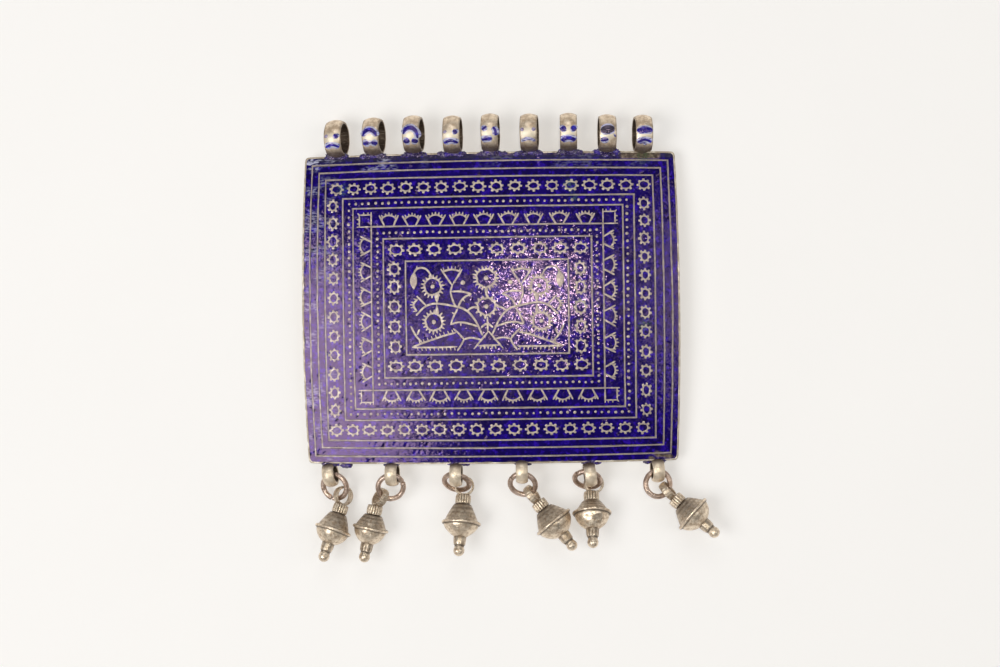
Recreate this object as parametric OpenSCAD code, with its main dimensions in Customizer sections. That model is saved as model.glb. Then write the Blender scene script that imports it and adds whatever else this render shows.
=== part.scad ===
// Enamelled silver pendant that lies face up: a domed plate with nine bails soldered along
// its top edge and six lugs along its bottom edge, each lug with a jump ring and a drop.
// The plate's front is cut away in nine cells, which hold blue enamel between silver lines.
// Millimetres. +Z is up from the surface that it lies on, and +Y points to the bails.

/* [Plate] */
// Width of the plate across its middle
plate_w = 90; // [89:0.5:91]
// Height of the plate across its middle
plate_h = 74; // [73.6:0.1:74.4]
// How far the left and right edges bow out between the corners
side_bow = 0.8; // [0.4:0.1:1.2]
// How far the top and bottom edges bow out between the corners
end_bow = 0.3; // [0.2:0.1:0.5]
// Radius of the plate's corners
corner_r = 0.9; // [0.5:0.1:1.2]
// Radius of the dome at the plate's front
dome_r = 255; // [250:1:260]
// Height of the middle of the plate's front above the surface
dome_top = 9.9; // [9.8:0.05:10.2]
// Thickness of the plate at its lines and rim
plate_t = 1.3; // [1.1:0.1:1.5]
// Depth of the cells cut for the enamel
cell_depth = 0.4; // [0.3:0.05:0.5]
// Width of the silver rim round the outermost cell
rim_w = 0.4; // [0.3:0.05:0.6]
// Width of a silver line between two cells
line_w = 0.36; // [0.3:0.03:0.51]

/* [Enamel] */
// Clearance between the enamel and the silver round it
enamel_gap = 0.03; // [0.02:0.01:0.05]
// How far the enamel's face lies below the silver lines
enamel_low = 0.04; // [0:0.01:0.1]

/* [Bails] */
// Outside diameter of a bail at its crown
bail_od = 9.2; // [9:0.1:9.4]
// Bore of a bail
bail_bore = 7; // [6.6:0.1:7.2]
// Width of a bail's strip along its bore
bail_w = 4.05; // [3.6:0.05:4.4]
// How much a bail's strip thins from its crown to its edges
bail_crown = 0.5; // [0.3:0.05:0.6]
// Height of a bail's centre above the middle of the plate's edge
bail_lift = 0.75; // [0.75:0.05:0.9]
// Radius of the solder fillet in front of a bail's foot
fillet_r = 1; // [0.8:0.05:1.1]
// Length of that fillet
fillet_l = 4.8; // [4.4:0.1:5.4]

/* [Lugs] */
// Outside diameter of a lug at its crown
lug_od = 6; // [5.8:0.1:6]
// Hole of a lug
lug_bore = 3.7; // [3.6:0.05:3.8]
// Width of a lug's strip along its hole
lug_w = 2.8; // [2.6:0.05:2.9]
// How much a lug's strip thins from its crown to its edges
lug_crown = 0.4; // [0.38:0.02:0.42]
// Depth of a lug's centre below the middle of the plate's edge
lug_drop = 0.45; // [0.4:0.05:0.45]

/* [Jump rings] */
// Diameter of a jump ring along the middle of its wire
ring_d = 6.03; // [5.98:0.01:6.08]
// Diameter of the wire
ring_wire = 1.27; // [1.1:0.01:1.3]
// Angle of the cut where a jump ring was closed
ring_cut = 5; // [3:1:8]

/* [Drops] */
// Diameter of the bead round a drop's rim
rim_bead = 0.8; // [0.6:0.05:0.9]
// Diameter of the fluted collar over its flutes
collar_d = 3.7; // [3.6:0.1:3.9]
// Height of the collar
collar_h = 2.3; // [2.1:0.1:2.4]
// Number of flutes round the collar
flutes = 16; // [14:1:18]
// Diameter of a flute
flute_d = 0.8; // [0.75:0.05:0.9]
// Diameter of the neck where it leaves the bowl
neck_d = 3; // [2.8:0.1:3.2]
// Length of the neck from the bowl to the middle of the ball
neck_h = 3.3; // [3.1:0.1:3.5]
// Diameter of the ball at a drop's end
ball_d = 2.65; // [2.55:0.05:2.8]
// Outside diameter of a drop's eyelet
eyelet_od = 4.9; // [4.8:0.05:4.95]
// Hole of the eyelet
eyelet_bore = 3.7; // [3.65:0.05:3.8]
// Width of the eyelet's band
eyelet_w = 1.8; // [1.6:0.05:1.8]

/* [Hidden] */
$fn = 128;

// Silver lines from the rim inwards: where the left, right, bottom and top side of each
// lies, and how far its sides bow out
// columns: left, right, bottom, top, bow
LINES = [
    [-43.05, 43.15, -35.20, 34.90, 0.7],
    [-41.20, 41.20, -33.15, 33.00, 0.5],
    [-39.35, 39.15, -31.30, 31.15, 0.3],
    [-34.85, 34.35, -26.35, 26.45, 0],
    [-32.40, 31.70, -23.65, 24.00, 0],
    [-28.00, 27.00, -19.25, 19.60, 0],
    [-25.10, 24.25, -16.30, 16.65, 0],
    [-19.80, 18.70, -10.90, 11.25, 0]
];

// Bails from left to right: place of the centre, and lean of the front to the left
// columns: x, y, lean
BAILS = [
    [-36.35, 40.90, 1.0],
    [-27.30, 41.20, 1.0],
    [-17.70, 41.45, 1.5],
    [-8.35, 41.20, 0.5],
    [0.60, 41.50, 1.5],
    [9.85, 41.35, 4.5],
    [19.10, 41.40, 3.5],
    [28.20, 41.00, 2.0],
    [36.60, 40.85, 1.5]
];

// Lugs from left to right: place of the centre, turn in the plate's plane and extra height
// columns: x, y, turn, up
LUGS = [
    [-39.05, -39.45, 9, 0],
    [-23.95, -39.30, 1, 0],
    [-8.60, -39.45, -1, 0],
    [7.05, -38.85, 1, 0],
    [23.15, -39.75, 7, 0.5],
    [39.20, -39.00, 3, 0]
];

// Jump rings: centre, then how the ring is tipped about X and about Y, and where it was cut
// columns: x, y, z, tip_x, tip_y, cut
RINGS = [
    [-38.03, -42.34, 3.05, 14.8, -16.4, 250],
    [-24.39, -42.46, 4.69, 19.5, 6.9, 25],
    [-8.67, -41.50, 3.38, 47.5, -13.4, 60],
    [7.20, -42.00, 4.85, 32, -8, 140],
    [22.53, -41.13, 2.97, 47.9, -10, 130],
    [39.27, -42.24, 3.87, -3.3, 16.2, 335]
];

// Drops: centre of the rim on the surface, heading from straight down to the right, tilt of
// the ball's end upwards, turn of the eyelet about the drop's axis, then the drop's own
// rim diameter, the distances from its rim to the middle of the collar and of the ball,
// and the sideways lean at which its eyelet was soldered on
// columns: x, y, heading, tilt, turn, rim_d, collar_at, ball_at, lean
DROPS = [
    [-38.45, -52.65, -18.5, 12, 37, 8.9, 5.3, 6.6, 9],
    [-29.40, -52.35, -12.5, 4.5, -61, 8.7, 4.5, 6.9, -20.5],
    [-7.65, -51.20, -4.5, 14, 4.5, 9.4, 5.7, 6.6, 0],
    [14.40, -51.05, 38, 5, 80, 9.8, 5, 7, 0],
    [23.54, -49.06, 1.5, 21, 14, 9.3, 4.1, 7.2, -18.5],
    [47.40, -49.40, 49, 7.5, 82.5, 9.6, 4.75, 6.6, -8]
];

// Straight steps that make up a bowed side
SIDE_STEPS = 8;
// Steps that make up a rounded corner
CORNER_STEPS = 4;
// Steps of a drop's curved profile on each side of its rim
PROFILE_STEPS = 8;
// Power that shapes the shoulder between collar and rim, where 1 leaves it straight
SHOULDER_POWER = 0.8;
// Power that shapes the bowl between rim and neck, where 1 leaves it elliptical
BOWL_POWER = 1.6;
// Sides of the dome, of wires and fillets, and of the drops' round pieces
DOME_SIDES = 256;
WIRE_SIDES = 48;
DROP_SIDES = 64;
FLUTE_SIDES = 24;
// Radius that a drop's walls reach below its rim bead
WALL_UNDER_RIM = 0.45;
// Depth that a soldered piece sinks into its neighbour within one drop
SOLDER_SINK = 0.35;
// How much the neck's radius narrows from bowl to ball
NECK_TAPER = 0.15;
// Width of the groove between neck and ball, and its depth
GROOVE_W = 0.35;
GROOVE_DEPTH = 0.2;
// How far a cutter runs past what it cuts
PAST = 1;

// Middle of the whole pendant in plan: half way between the plate's left edge and the
// outermost ball, and half way between the highest bail and the lowest ball
function ball_centre(d) = [
    d[0] + d[7] * cos(d[3]) * sin(d[2]),
    d[1] - d[7] * cos(d[3]) * cos(d[2])
];
right_reach = max([for (d = DROPS) ball_centre(d)[0]]) + ball_d / 2;
bottom_reach = min([for (d = DROPS) ball_centre(d)[1]]) - ball_d / 2;
top_reach = max([for (b = BAILS) b[1]]) + bail_od / 2;
mid_x = (right_reach - plate_w / 2) / 2;
mid_y = (top_reach + bottom_reach) / 2;

// Height of the plate's front over a point in plan
function front_z(x, y) = dome_top - dome_r + sqrt(dome_r * dome_r - x * x - y * y);
// Height of the middle of the plate's edge at x, on the top (1) or bottom (-1) side
function edge_z(x, side) = front_z(x, side * plate_h / 2) - plate_t / 2;
// Slope of the dome across the plate at x
function dome_lean(x) = asin(x / dome_r);
// Radius of an arc from its half chord and its bow
function arc_r(half, bow) = (half * half + bow * bow) / (2 * bow);
// Points along one bowed side, from its first corner up to just before the next
function bowed_side(from, to, bow) = let (
    steps = bow == 0 ? 1 : SIDE_STEPS,
    along = to - from,
    out = [along[1], -along[0]] / norm(along)
) [for (k = [0 : steps - 1])
    let (t = k / steps) from + along * t + out * bow * (1 - pow(2 * t - 1, 2))];
// Points of the arc that rounds a corner between the points before and after it
function corner_arc(before, corner, after, r) = r <= 0 ? [corner] : let (
    p = (before - corner) / norm(before - corner),
    q = (after - corner) / norm(after - corner),
    half = acos(p * q) / 2,
    middle = corner + (p + q) / norm(p + q) * r / sin(half),
    start = corner + p * r / tan(half) - middle,
    from = atan2(start[1], start[0])
) [for (k = [0 : CORNER_STEPS])
    let (a = from + (180 - 2 * half) * k / CORNER_STEPS) middle + r * [cos(a), sin(a)]];

// Puts the pendant's middle over the origin
module centred() {
    translate([-mid_x, -mid_y, 0]) children();
}

// Four-sided outline with bowed sides, given by where its sides lie at their middles, and
// with its corners rounded to radius r
module bowed_outline(left, right, bottom, top, side, end, r) {
    a = [left + side, bottom + end];
    b = [right - side, bottom + end];
    c = [right - side, top - end];
    d = [left + side, top - end];
    sides = [
        bowed_side(a, b, end), bowed_side(b, c, side),
        bowed_side(c, d, end), bowed_side(d, a, side)
    ];
    polygon([for (i = [0 : 3]) let (
        this = sides[i],
        last = sides[(i + 3) % 4],
        after = len(this) > 1 ? this[1] : sides[(i + 1) % 4][0]
    ) each concat(
        corner_arc(last[len(last) - 1], this[0], after, r),
        [for (k = [1 : 1 : len(this) - 1]) this[k]]
    )]);
}

// Plate's outline, smaller by an inset all round
module plate_outline(inset) {
    bowed_outline(
        inset - plate_w / 2, plate_w / 2 - inset,
        inset - plate_h / 2, plate_h / 2 - inset, side_bow, end_bow, corner_r - inset
    );
}

// Outline of line i, larger by grow all round
module line_outline(i, grow) {
    n = LINES[i];
    bowed_outline(n[0] - grow, n[1] + grow, n[2] - grow, n[3] + grow, n[4], n[4] / 2, 0);
}

// Cell i in plan, from 0 at the rim to 8 in the middle, smaller by an inset all round
module cell_outline(i, inset) {
    difference() {
        if (i == 0) plate_outline(rim_w + inset);
        else line_outline(i - 1, -line_w / 2 - inset);
        if (i < len(LINES)) line_outline(i, line_w / 2 + inset);
    }
}

// What lies between two depths below the dome's front
module dome_layer(top_depth, bottom_depth) {
    translate([0, 0, dome_top - dome_r]) difference() {
        sphere(r = dome_r - top_depth, $fn = DOME_SIDES);
        sphere(r = dome_r - bottom_depth, $fn = DOME_SIDES);
    }
}

// Strip bent into a ring round X: flat bore, crowned outside
module strip_ring(od, bore, w, crown) {
    crown_r = arc_r(w / 2, crown);
    rotate([0, 90, 0]) rotate_extrude() intersection() {
        translate([bore / 2, -w / 2]) square([(od - bore) / 2, w]);
        translate([od / 2 - crown_r, 0]) circle(r = crown_r);
    }
}

// Places children at bail b
module at_bail(b) {
    translate([b[0], b[1], edge_z(b[0], 1) + bail_lift])
        rotate([0, dome_lean(b[0]) - b[2], 0]) children();
}

// Places children at lug l
module at_lug(l) {
    translate([l[0], l[1], edge_z(l[0], -1) - lug_drop + l[3]])
        rotate([0, dome_lean(l[0]), l[2]]) children();
}

// Solder fillet on the plate's front at the foot of bail b
module bail_fillet(b, grow) {
    y = plate_h / 2 - fillet_r / 2;
    translate([b[0], y, front_z(b[0], y) - fillet_r / 4])
        rotate([0, 90 + dome_lean(b[0]), 0])
            cylinder(r = fillet_r + grow, h = fillet_l + 2 * grow, center = true, $fn = WIRE_SIDES);
}

// Silver plate with its bails and lugs, soldered into one piece
module plate() {
    color([0.72, 0.68, 0.6]) centred() union() {
        difference() {
            intersection() {
                dome_layer(0, plate_t);
                linear_extrude(dome_top + PAST) plate_outline(0);
            }
            intersection() {
                dome_layer(-PAST, cell_depth);
                linear_extrude(dome_top + PAST) union() {
                    for (i = [0 : len(LINES)]) cell_outline(i, 0);
                }
            }
        }
        for (b = BAILS) {
            at_bail(b) strip_ring(bail_od, bail_bore, bail_w, bail_crown);
            bail_fillet(b, 0);
        }
        for (l = LUGS) at_lug(l) strip_ring(lug_od, lug_bore, lug_w, lug_crown);
    }
}

// Blue enamel in cell i. The outermost cell is notched round the bails' solder and the lugs
module enamel(i) {
    color([0.16, 0.09, 0.6]) centred() difference() {
        intersection() {
            dome_layer(enamel_low, cell_depth - enamel_gap);
            linear_extrude(dome_top + PAST) cell_outline(i, enamel_gap);
        }
        if (i == 0) {
            for (b = BAILS) {
                bail_fillet(b, enamel_gap);
                at_bail(b) rotate([0, 90, 0])
                    cylinder(d = bail_od + 2 * enamel_gap, h = bail_w + 2 * enamel_gap, center = true);
            }
            for (l = LUGS) at_lug(l) rotate([0, 90, 0])
                cylinder(d = lug_od + 2 * enamel_gap, h = lug_w + 2 * enamel_gap, center = true);
        }
    }
}

// Jump ring r: round wire, bent into a ring and left with its cut
module jump_ring(r) {
    color([0.6, 0.5, 0.46]) centred()
        translate([r[0], r[1], r[2]]) rotate([r[3], r[4], 0])
            rotate([0, 0, r[5] + ring_cut / 2]) rotate_extrude(angle = 360 - ring_cut)
                translate([ring_d / 2, 0]) circle(d = ring_wire, $fn = WIRE_SIDES);
}

// Profile of a drop's body from collar to neck: radius against distance from the rim
function drop_profile(rim_r, collar_at, ball_at) = let (
    shoulder = -(collar_at - collar_h / 2) - SOLDER_SINK,
    neck_at = ball_at - neck_h,
    neck_r = neck_d / 2,
    groove_r = neck_r - NECK_TAPER - GROOVE_DEPTH,
    wall = rim_r - WALL_UNDER_RIM,
    top_r = collar_d / 2 - flute_d / 4
) concat(
    [[0, shoulder]],
    [for (k = [0 : PROFILE_STEPS])
        let (t = k / PROFILE_STEPS) [top_r + (wall - top_r) * pow(t, SHOULDER_POWER), shoulder * (1 - t)]],
    [for (k = [1 : PROFILE_STEPS])
        let (a = 90 * k / PROFILE_STEPS)
        [neck_r + (wall - neck_r) * pow(cos(a), BOWL_POWER), neck_at * sin(a)]],
    [
        [neck_r - NECK_TAPER, ball_at - ball_d / 2 - GROOVE_W / 2],
        [groove_r, ball_at - ball_d / 2 + GROOVE_W / 2],
        [groove_r, ball_at],
        [0, ball_at]
    ]
);

// Drop d in one soldered piece: eyelet, fluted collar, body, rim bead, neck and ball.
// It lies on its rim, with the ball's end raised by its tilt
module drop(d) {
    rim_r = d[5] / 2;
    collar_at = d[6];
    ball_at = d[7];
    core_r = collar_d / 2 - flute_d / 2;
    bead_mid = rim_r - rim_bead / 2;
    color([0.7, 0.66, 0.58]) centred()
        translate([d[0], d[1], bead_mid * cos(d[3]) + rim_bead / 2])
            rotate([-d[3], 0, d[2]]) rotate([90, 0, 0]) union() {
                rotate_extrude() polygon(drop_profile(rim_r, collar_at, ball_at));
                rotate_extrude() translate([bead_mid, 0]) circle(d = rim_bead, $fn = WIRE_SIDES);
                translate([0, 0, ball_at]) sphere(d = ball_d, $fn = DROP_SIDES);
                translate([0, 0, -collar_at - collar_h / 2]) {
                    cylinder(r = core_r + flute_d / 4, h = collar_h, $fn = DROP_SIDES);
                    for (k = [0 : flutes - 1]) rotate([0, 0, k * 360 / flutes])
                        translate([core_r, 0, 0]) cylinder(d = flute_d, h = collar_h, $fn = FLUTE_SIDES);
                }
                translate([0, 0, -collar_at - collar_h / 2]) rotate([0, d[8], 0])
                    translate([0, 0, SOLDER_SINK - eyelet_od / 2]) rotate([0, 0, -d[4]])
                        rotate([90, 0, 0]) difference() {
                            cylinder(d = eyelet_od, h = eyelet_w, center = true, $fn = DROP_SIDES);
                            cylinder(d = eyelet_bore, h = eyelet_w + PAST, center = true, $fn = DROP_SIDES);
                        }
            }
}

plate();
enamel(0);  // enamel_border_1
enamel(1);  // enamel_border_2
enamel(2);  // enamel_border_3
enamel(3);  // enamel_border_4
enamel(4);  // enamel_border_5
enamel(5);  // enamel_border_6
enamel(6);  // enamel_border_7
enamel(7);  // enamel_border_8
enamel(8);  // enamel_centre
jump_ring(RINGS[0]);  // jump_ring_1
jump_ring(RINGS[1]);  // jump_ring_2
jump_ring(RINGS[2]);  // jump_ring_3
jump_ring(RINGS[3]);  // jump_ring_4
jump_ring(RINGS[4]);  // jump_ring_5
jump_ring(RINGS[5]);  // jump_ring_6
drop(DROPS[0]);  // drop_1
drop(DROPS[1]);  // drop_2
drop(DROPS[2]);  // drop_3
drop(DROPS[3]);  // drop_4
drop(DROPS[4]);  // drop_5
drop(DROPS[5]);  // drop_6
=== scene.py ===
import math

import bmesh
import bpy
import numpy as np
from mathutils import Matrix, Vector, noise


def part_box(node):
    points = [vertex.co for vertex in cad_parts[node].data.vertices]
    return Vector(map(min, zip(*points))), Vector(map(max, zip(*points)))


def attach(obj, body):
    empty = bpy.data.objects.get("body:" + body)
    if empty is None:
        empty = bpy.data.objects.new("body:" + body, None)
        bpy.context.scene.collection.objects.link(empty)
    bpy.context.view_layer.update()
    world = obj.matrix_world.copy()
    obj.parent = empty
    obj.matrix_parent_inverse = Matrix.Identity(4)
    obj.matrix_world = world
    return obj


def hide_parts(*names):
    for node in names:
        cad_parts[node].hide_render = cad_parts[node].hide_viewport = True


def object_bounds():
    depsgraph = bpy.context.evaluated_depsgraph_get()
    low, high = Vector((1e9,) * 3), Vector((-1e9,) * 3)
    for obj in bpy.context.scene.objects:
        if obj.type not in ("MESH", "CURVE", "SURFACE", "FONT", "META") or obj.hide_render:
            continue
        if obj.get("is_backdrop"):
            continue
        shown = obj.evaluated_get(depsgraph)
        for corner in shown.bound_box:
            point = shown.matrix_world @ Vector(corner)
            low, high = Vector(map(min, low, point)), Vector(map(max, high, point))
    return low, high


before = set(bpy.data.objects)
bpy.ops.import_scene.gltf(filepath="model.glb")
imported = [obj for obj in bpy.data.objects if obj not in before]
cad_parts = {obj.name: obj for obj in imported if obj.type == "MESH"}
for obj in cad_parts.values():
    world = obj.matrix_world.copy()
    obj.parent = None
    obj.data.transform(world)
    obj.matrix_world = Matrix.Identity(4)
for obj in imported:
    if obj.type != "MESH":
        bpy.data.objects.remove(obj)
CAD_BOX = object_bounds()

MM = 0.001

# The plate, its lines and its cells
PLATE_W = 90
PLATE_H = 74
SIDE_BOW = 0.8
END_BOW = 0.3
CORNER_R = 0.9
DOME_R = 255
DOME_TOP = 9.9
PLATE_T = 1.3
CELL_DEPTH = 0.4
RIM_W = 0.4
LINE_W = 0.36
ENAMEL_GAP = 0.03
ENAMEL_LOW = 0.04
# columns: left, right, bottom, top, bow
LINES = [
    (-43.05, 43.15, -35.20, 34.90, 0.7),
    (-41.20, 41.20, -33.15, 33.00, 0.5),
    (-39.35, 39.15, -31.30, 31.15, 0.3),
    (-34.85, 34.35, -26.35, 26.45, 0),
    (-32.40, 31.70, -23.65, 24.00, 0),
    (-28.00, 27.00, -19.25, 19.60, 0),
    (-25.10, 24.25, -16.30, 16.65, 0),
    (-19.80, 18.70, -10.90, 11.25, 0),
]

# Bails and lugs
BAIL_OD = 9.2
BAIL_BORE = 7
BAIL_W = 4.05
BAIL_CROWN = 0.5
BAIL_LIFT = 0.75
LUG_OD = 6
LUG_BORE = 3.7
LUG_W = 2.8
LUG_CROWN = 0.4
LUG_DROP = 0.45
# columns: x, y, lean
BAILS = [
    (-36.35, 40.90, 1.0), (-27.30, 41.20, 1.0), (-17.70, 41.45, 1.5), (-8.35, 41.20, 0.5), (0.60, 41.50, 1.5),
    (9.85, 41.35, 4.5), (19.10, 41.40, 3.5), (28.20, 41.00, 2.0), (36.60, 40.85, 1.5),
]
# columns: x, y, turn, up
LUGS = [
    (-39.05, -39.45, 9, 0), (-23.95, -39.30, 1, 0), (-8.60, -39.45, -1, 0),
    (7.05, -38.85, 1, 0), (23.15, -39.75, 7, 0.5), (39.20, -39.00, 3, 0),
]

# Jump rings and drops
RING_D = 6.03
RING_WIRE = 1.27
RING_CUT = 5
# columns: x, y, z, tip_x, tip_y, cut
RINGS = [
    (-38.03, -42.34, 3.05, 14.8, -16.4, 250), (-24.39, -42.46, 4.69, 19.5, 6.9, 25),
    (-8.67, -41.50, 3.38, 47.5, -13.4, 60), (7.20, -42.00, 4.85, 32, -8, 140),
    (22.53, -41.13, 2.97, 47.9, -10, 130), (39.27, -42.24, 3.87, -3.3, 16.2, 335),
]
COLLAR_D = 3.7
COLLAR_H = 2.3
FLUTES = 16
RIM_BEAD = 0.8
NECK_D = 3
NECK_H = 3.3
NECK_TAPER = 0.15
GROOVE_DEPTH = 0.2
SHOULDER_POWER = 0.8
BOWL_POWER = 1.6
BALL_D = 2.65
WALL_UNDER_RIM = 0.45
EYELET_OD = 4.9
EYELET_BORE = 3.7
EYELET_W = 1.8
SOLDER_SINK = 0.35
# columns: x, y, heading, tilt, turn, rim_d, collar_at, ball_at, lean of the eyelet
DROPS = [
    (-38.45, -52.65, -18.5, 12, 37, 8.9, 5.3, 6.6, 9),
    (-29.40, -52.35, -12.5, 4.5, -61, 8.7, 4.5, 6.9, -20.5),
    (-7.65, -51.20, -4.5, 14, 4.5, 9.4, 5.7, 6.6, 0),
    (14.40, -51.05, 38, 5, 80, 9.8, 5, 7, 0),
    (23.54, -49.06, 1.5, 21, 14, 9.3, 4.1, 7.2, -18.5),
    (47.40, -49.40, 49, 7.5, 82.5, 9.6, 4.75, 6.6, -8),
]

# Where the plate's middle lies in the row, from the outermost ring of enamel
low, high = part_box("enamel_border_1")
PLATE_AT = np.array([(low.x + high.x) / 2 / MM, (low.y + high.y) / 2 / MM, 0])


# Shapes

def place(points):
    """Points in the plate's plan, in millimetres, as the row's metres."""
    return (np.asarray(points, float) + PLATE_AT) * MM


def dome(x, y, depth=0.0):
    """Height of the surface that lies depth below the plate's front."""
    return DOME_TOP - DOME_R + np.sqrt((DOME_R - depth) ** 2 - x * x - y * y)


def on_dome(points):
    """Points (x, y, height over the silver's face) put on the dome."""
    x, y, height = points[..., 0], points[..., 1], points[..., 2]
    return np.stack([x, y, dome(x, y, -height)], -1)


def turned(points, x=0, y=0, z=0):
    """Points turned about X, then Y, then Z, in degrees."""
    for angle, axis in ((x, "X"), (y, "Y"), (z, "Z")):
        points = points @ np.array(Matrix.Rotation(math.radians(angle), 3, axis)).T
    return points


def wander(x, y, size, seed):
    """Smooth noise from -1 to 1 over the plan, with bumps about size across."""
    lattice = np.random.default_rng(seed).uniform(-1, 1, (256, 256))
    u, v = x / size + 97.3, y / size + 41.7
    i, j = np.floor(u).astype(int), np.floor(v).astype(int)
    f, g = (u - i) ** 2 * (3 - 2 * (u - i)), (v - j) ** 2 * (3 - 2 * (v - j))
    corner = lambda a, b: lattice[(i + a) % 256, (j + b) % 256]
    near = corner(0, 0) * (1 - f) + corner(1, 0) * f
    far = corner(0, 1) * (1 - f) + corner(1, 1) * f
    return near * (1 - g) + far * g


def ramp(value, start, end):
    """0 up to start, 1 from end on, and smooth between them."""
    t = np.clip((value - start) / (end - start), 0, 1)
    return t * t * (3 - 2 * t)


def full_turn(count):
    """Angles of count points spaced evenly round a circle."""
    return np.arange(count) * 2 * math.pi / count


def raised(loop, height):
    """A loop in the plan with its height over the silver's face: one number, or one for each point."""
    return np.concatenate([loop, np.broadcast_to(height, len(loop))[:, None]], -1)


def loft(rows, closed=False, caps=False):
    """Quads over rows of points, each row a ring. closed joins the last row to the first one."""
    count, around = rows.shape[:2]
    r, c = np.meshgrid(np.arange(count if closed else count - 1), np.arange(around), indexing="ij")
    r2, c2 = (r + 1) % count, (c + 1) % around
    quads = np.stack([r * around + c, r * around + c2, r2 * around + c2, r2 * around + c], -1)
    faces = quads.reshape(-1, 4).tolist()
    if caps:
        faces.append(list(range(around))[::-1])
        faces.append(list(range((count - 1) * around, count * around)))
    return rows.reshape(-1, 3), faces


def piece(name, parts, material, slot, replaced=(), merge=False, sharp=35, **fields):
    """One object of parts (points, faces) in plan millimetres, riding on the pendant.
    Each field is a function of the points, or an array, and is stored for the material."""
    points = np.concatenate([p for p, _ in parts])
    starts = np.cumsum([0] + [len(p) for p, _ in parts])
    faces = [[i + s for i in face] for s, (_, part) in zip(starts.tolist(), parts) for face in part]
    mesh = bpy.data.meshes.new(name)
    mesh.from_pydata(place(points).tolist(), [], faces)
    for field, values in fields.items():
        values = values(points) if callable(values) else values
        mesh.attributes.new(field, "FLOAT", "POINT").data.foreach_set("value", np.asarray(values, np.float32))
    shape = bmesh.new()
    shape.from_mesh(mesh)
    if merge:
        bmesh.ops.remove_doubles(shape, verts=shape.verts, dist=0.002 * MM)
    bmesh.ops.recalc_face_normals(shape, faces=shape.faces)
    shape.to_mesh(mesh)
    shape.free()
    mesh.shade_smooth()
    mesh.set_sharp_from_angle(angle=math.radians(sharp))
    mesh.materials.append(material)
    made = bpy.data.objects.new(name, mesh)
    bpy.context.scene.collection.objects.link(made)
    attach(made, "root")
    if replaced:
        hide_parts(*replaced)
    return made


def outline(left, right, bottom, top, side_bow, end_bow, step, corner_r=0):
    """Four-sided loop whose sides bow out, with rounded corners and points about step apart."""
    corners = [(left + side_bow, bottom + end_bow), (right - side_bow, bottom + end_bow),
               (right - side_bow, top - end_bow), (left + side_bow, top - end_bow)]
    along_end, along_side = round(PLATE_W / step), round(PLATE_H / step)
    sides = []
    for k, (bow, count) in enumerate([(end_bow, along_end), (side_bow, along_side)] * 2):
        start, end = np.array(corners[k]), np.array(corners[(k + 1) % 4])
        t = np.arange(count)[:, None] / count
        out = np.array([end[1] - start[1], start[0] - end[0]]) / np.linalg.norm(end - start)
        sides.append(start + (end - start) * t + out * bow * (1 - (2 * t - 1) ** 2))
    loop = np.concatenate(sides)
    if corner_r > 0:
        for corner in np.array(corners):
            inward = -np.sign(corner - ((left + right) / 2, (bottom + top) / 2))
            inside = (loop - corner) * inward
            near = (inside < corner_r).all(1)
            away = inside[near] - corner_r
            away *= corner_r / np.linalg.norm(away, axis=1)[:, None]
            loop[near] = corner + (corner_r + away) * inward
    return loop


def plate_loop(inset, step):
    """The plate's outline, moved in from its edge."""
    return outline(inset - PLATE_W / 2, PLATE_W / 2 - inset, inset - PLATE_H / 2, PLATE_H / 2 - inset,
                   SIDE_BOW, END_BOW, step, CORNER_R - inset)


def line_loop(i, grow, step):
    """The middle of a silver line, moved outwards by grow."""
    left, right, bottom, top, bow = LINES[i]
    return outline(left - grow, right + grow, bottom - grow, top + grow, bow, bow / 2, step)


# Raised silver ornament: every strip, dot and flower stands in the enamel, with its top at the lines' height

SINK = 0.2
FLOOR = CELL_DEPTH + 0.02
EDGE_DROP = 0.05
WORN_DEPTH = 0.12
rng = np.random.default_rng(7)


def worn_down(x, y):
    """How far the silver is rubbed or sunk at a place: the corner at the lower right is worn."""
    corner = ramp(x, 36, 39.5) * ramp(-y, 32.4, 34.6)
    return WORN_DEPTH * corner * (1 - ramp(x, 42.6, 43.0))


def curve(points, steps=6):
    """Points along a smooth curve through the given ones."""
    p = np.asarray(points, float)
    p = np.concatenate([[2 * p[0] - p[1]], p, [2 * p[-1] - p[-2]]])
    t = np.arange(steps)[:, None] / steps
    made = []
    for a, b, c, d in zip(p[:-3], p[1:-2], p[2:-1], p[3:]):
        made.append(0.5 * (2 * b + (c - a) * t + (2 * a - 5 * b + 4 * c - d) * t ** 2
                           + (3 * b - a - 3 * c + d) * t ** 3))
    return np.concatenate(made + [p[-2:-1]])


# Sections of the raised silver. columns: place across it, height over the silver's face
STRIP = [(-1, -SINK), (-1, -EDGE_DROP), (-0.76, 0), (0.76, 0), (1, -EDGE_DROP), (1, -SINK)]
LINE_SECTION = [(0.5, -FLOOR), (0.5, -EDGE_DROP), (0.38, 0), (-0.38, 0), (-0.5, -EDGE_DROP), (-0.5, -FLOOR)]
RING_SECTION = [(0, -SINK), (0, -EDGE_DROP), (0.12, 0), (0.9, 0), (1, -EDGE_DROP), (1, -SINK)]
DOT_SECTION = [(1, -SINK), (1, -EDGE_DROP), (0.8, -0.005), (0.45, 0.01)]
DOT_POINTS = 12
RAY_POINTS = 10
RAY_FLANK = 0.12


def spaced(widths, count):
    """The given widths, spaced evenly along a path of count points."""
    return np.interp(np.linspace(0, 1, count), np.linspace(0, 1, np.size(widths)), np.atleast_1d(widths))


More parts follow.
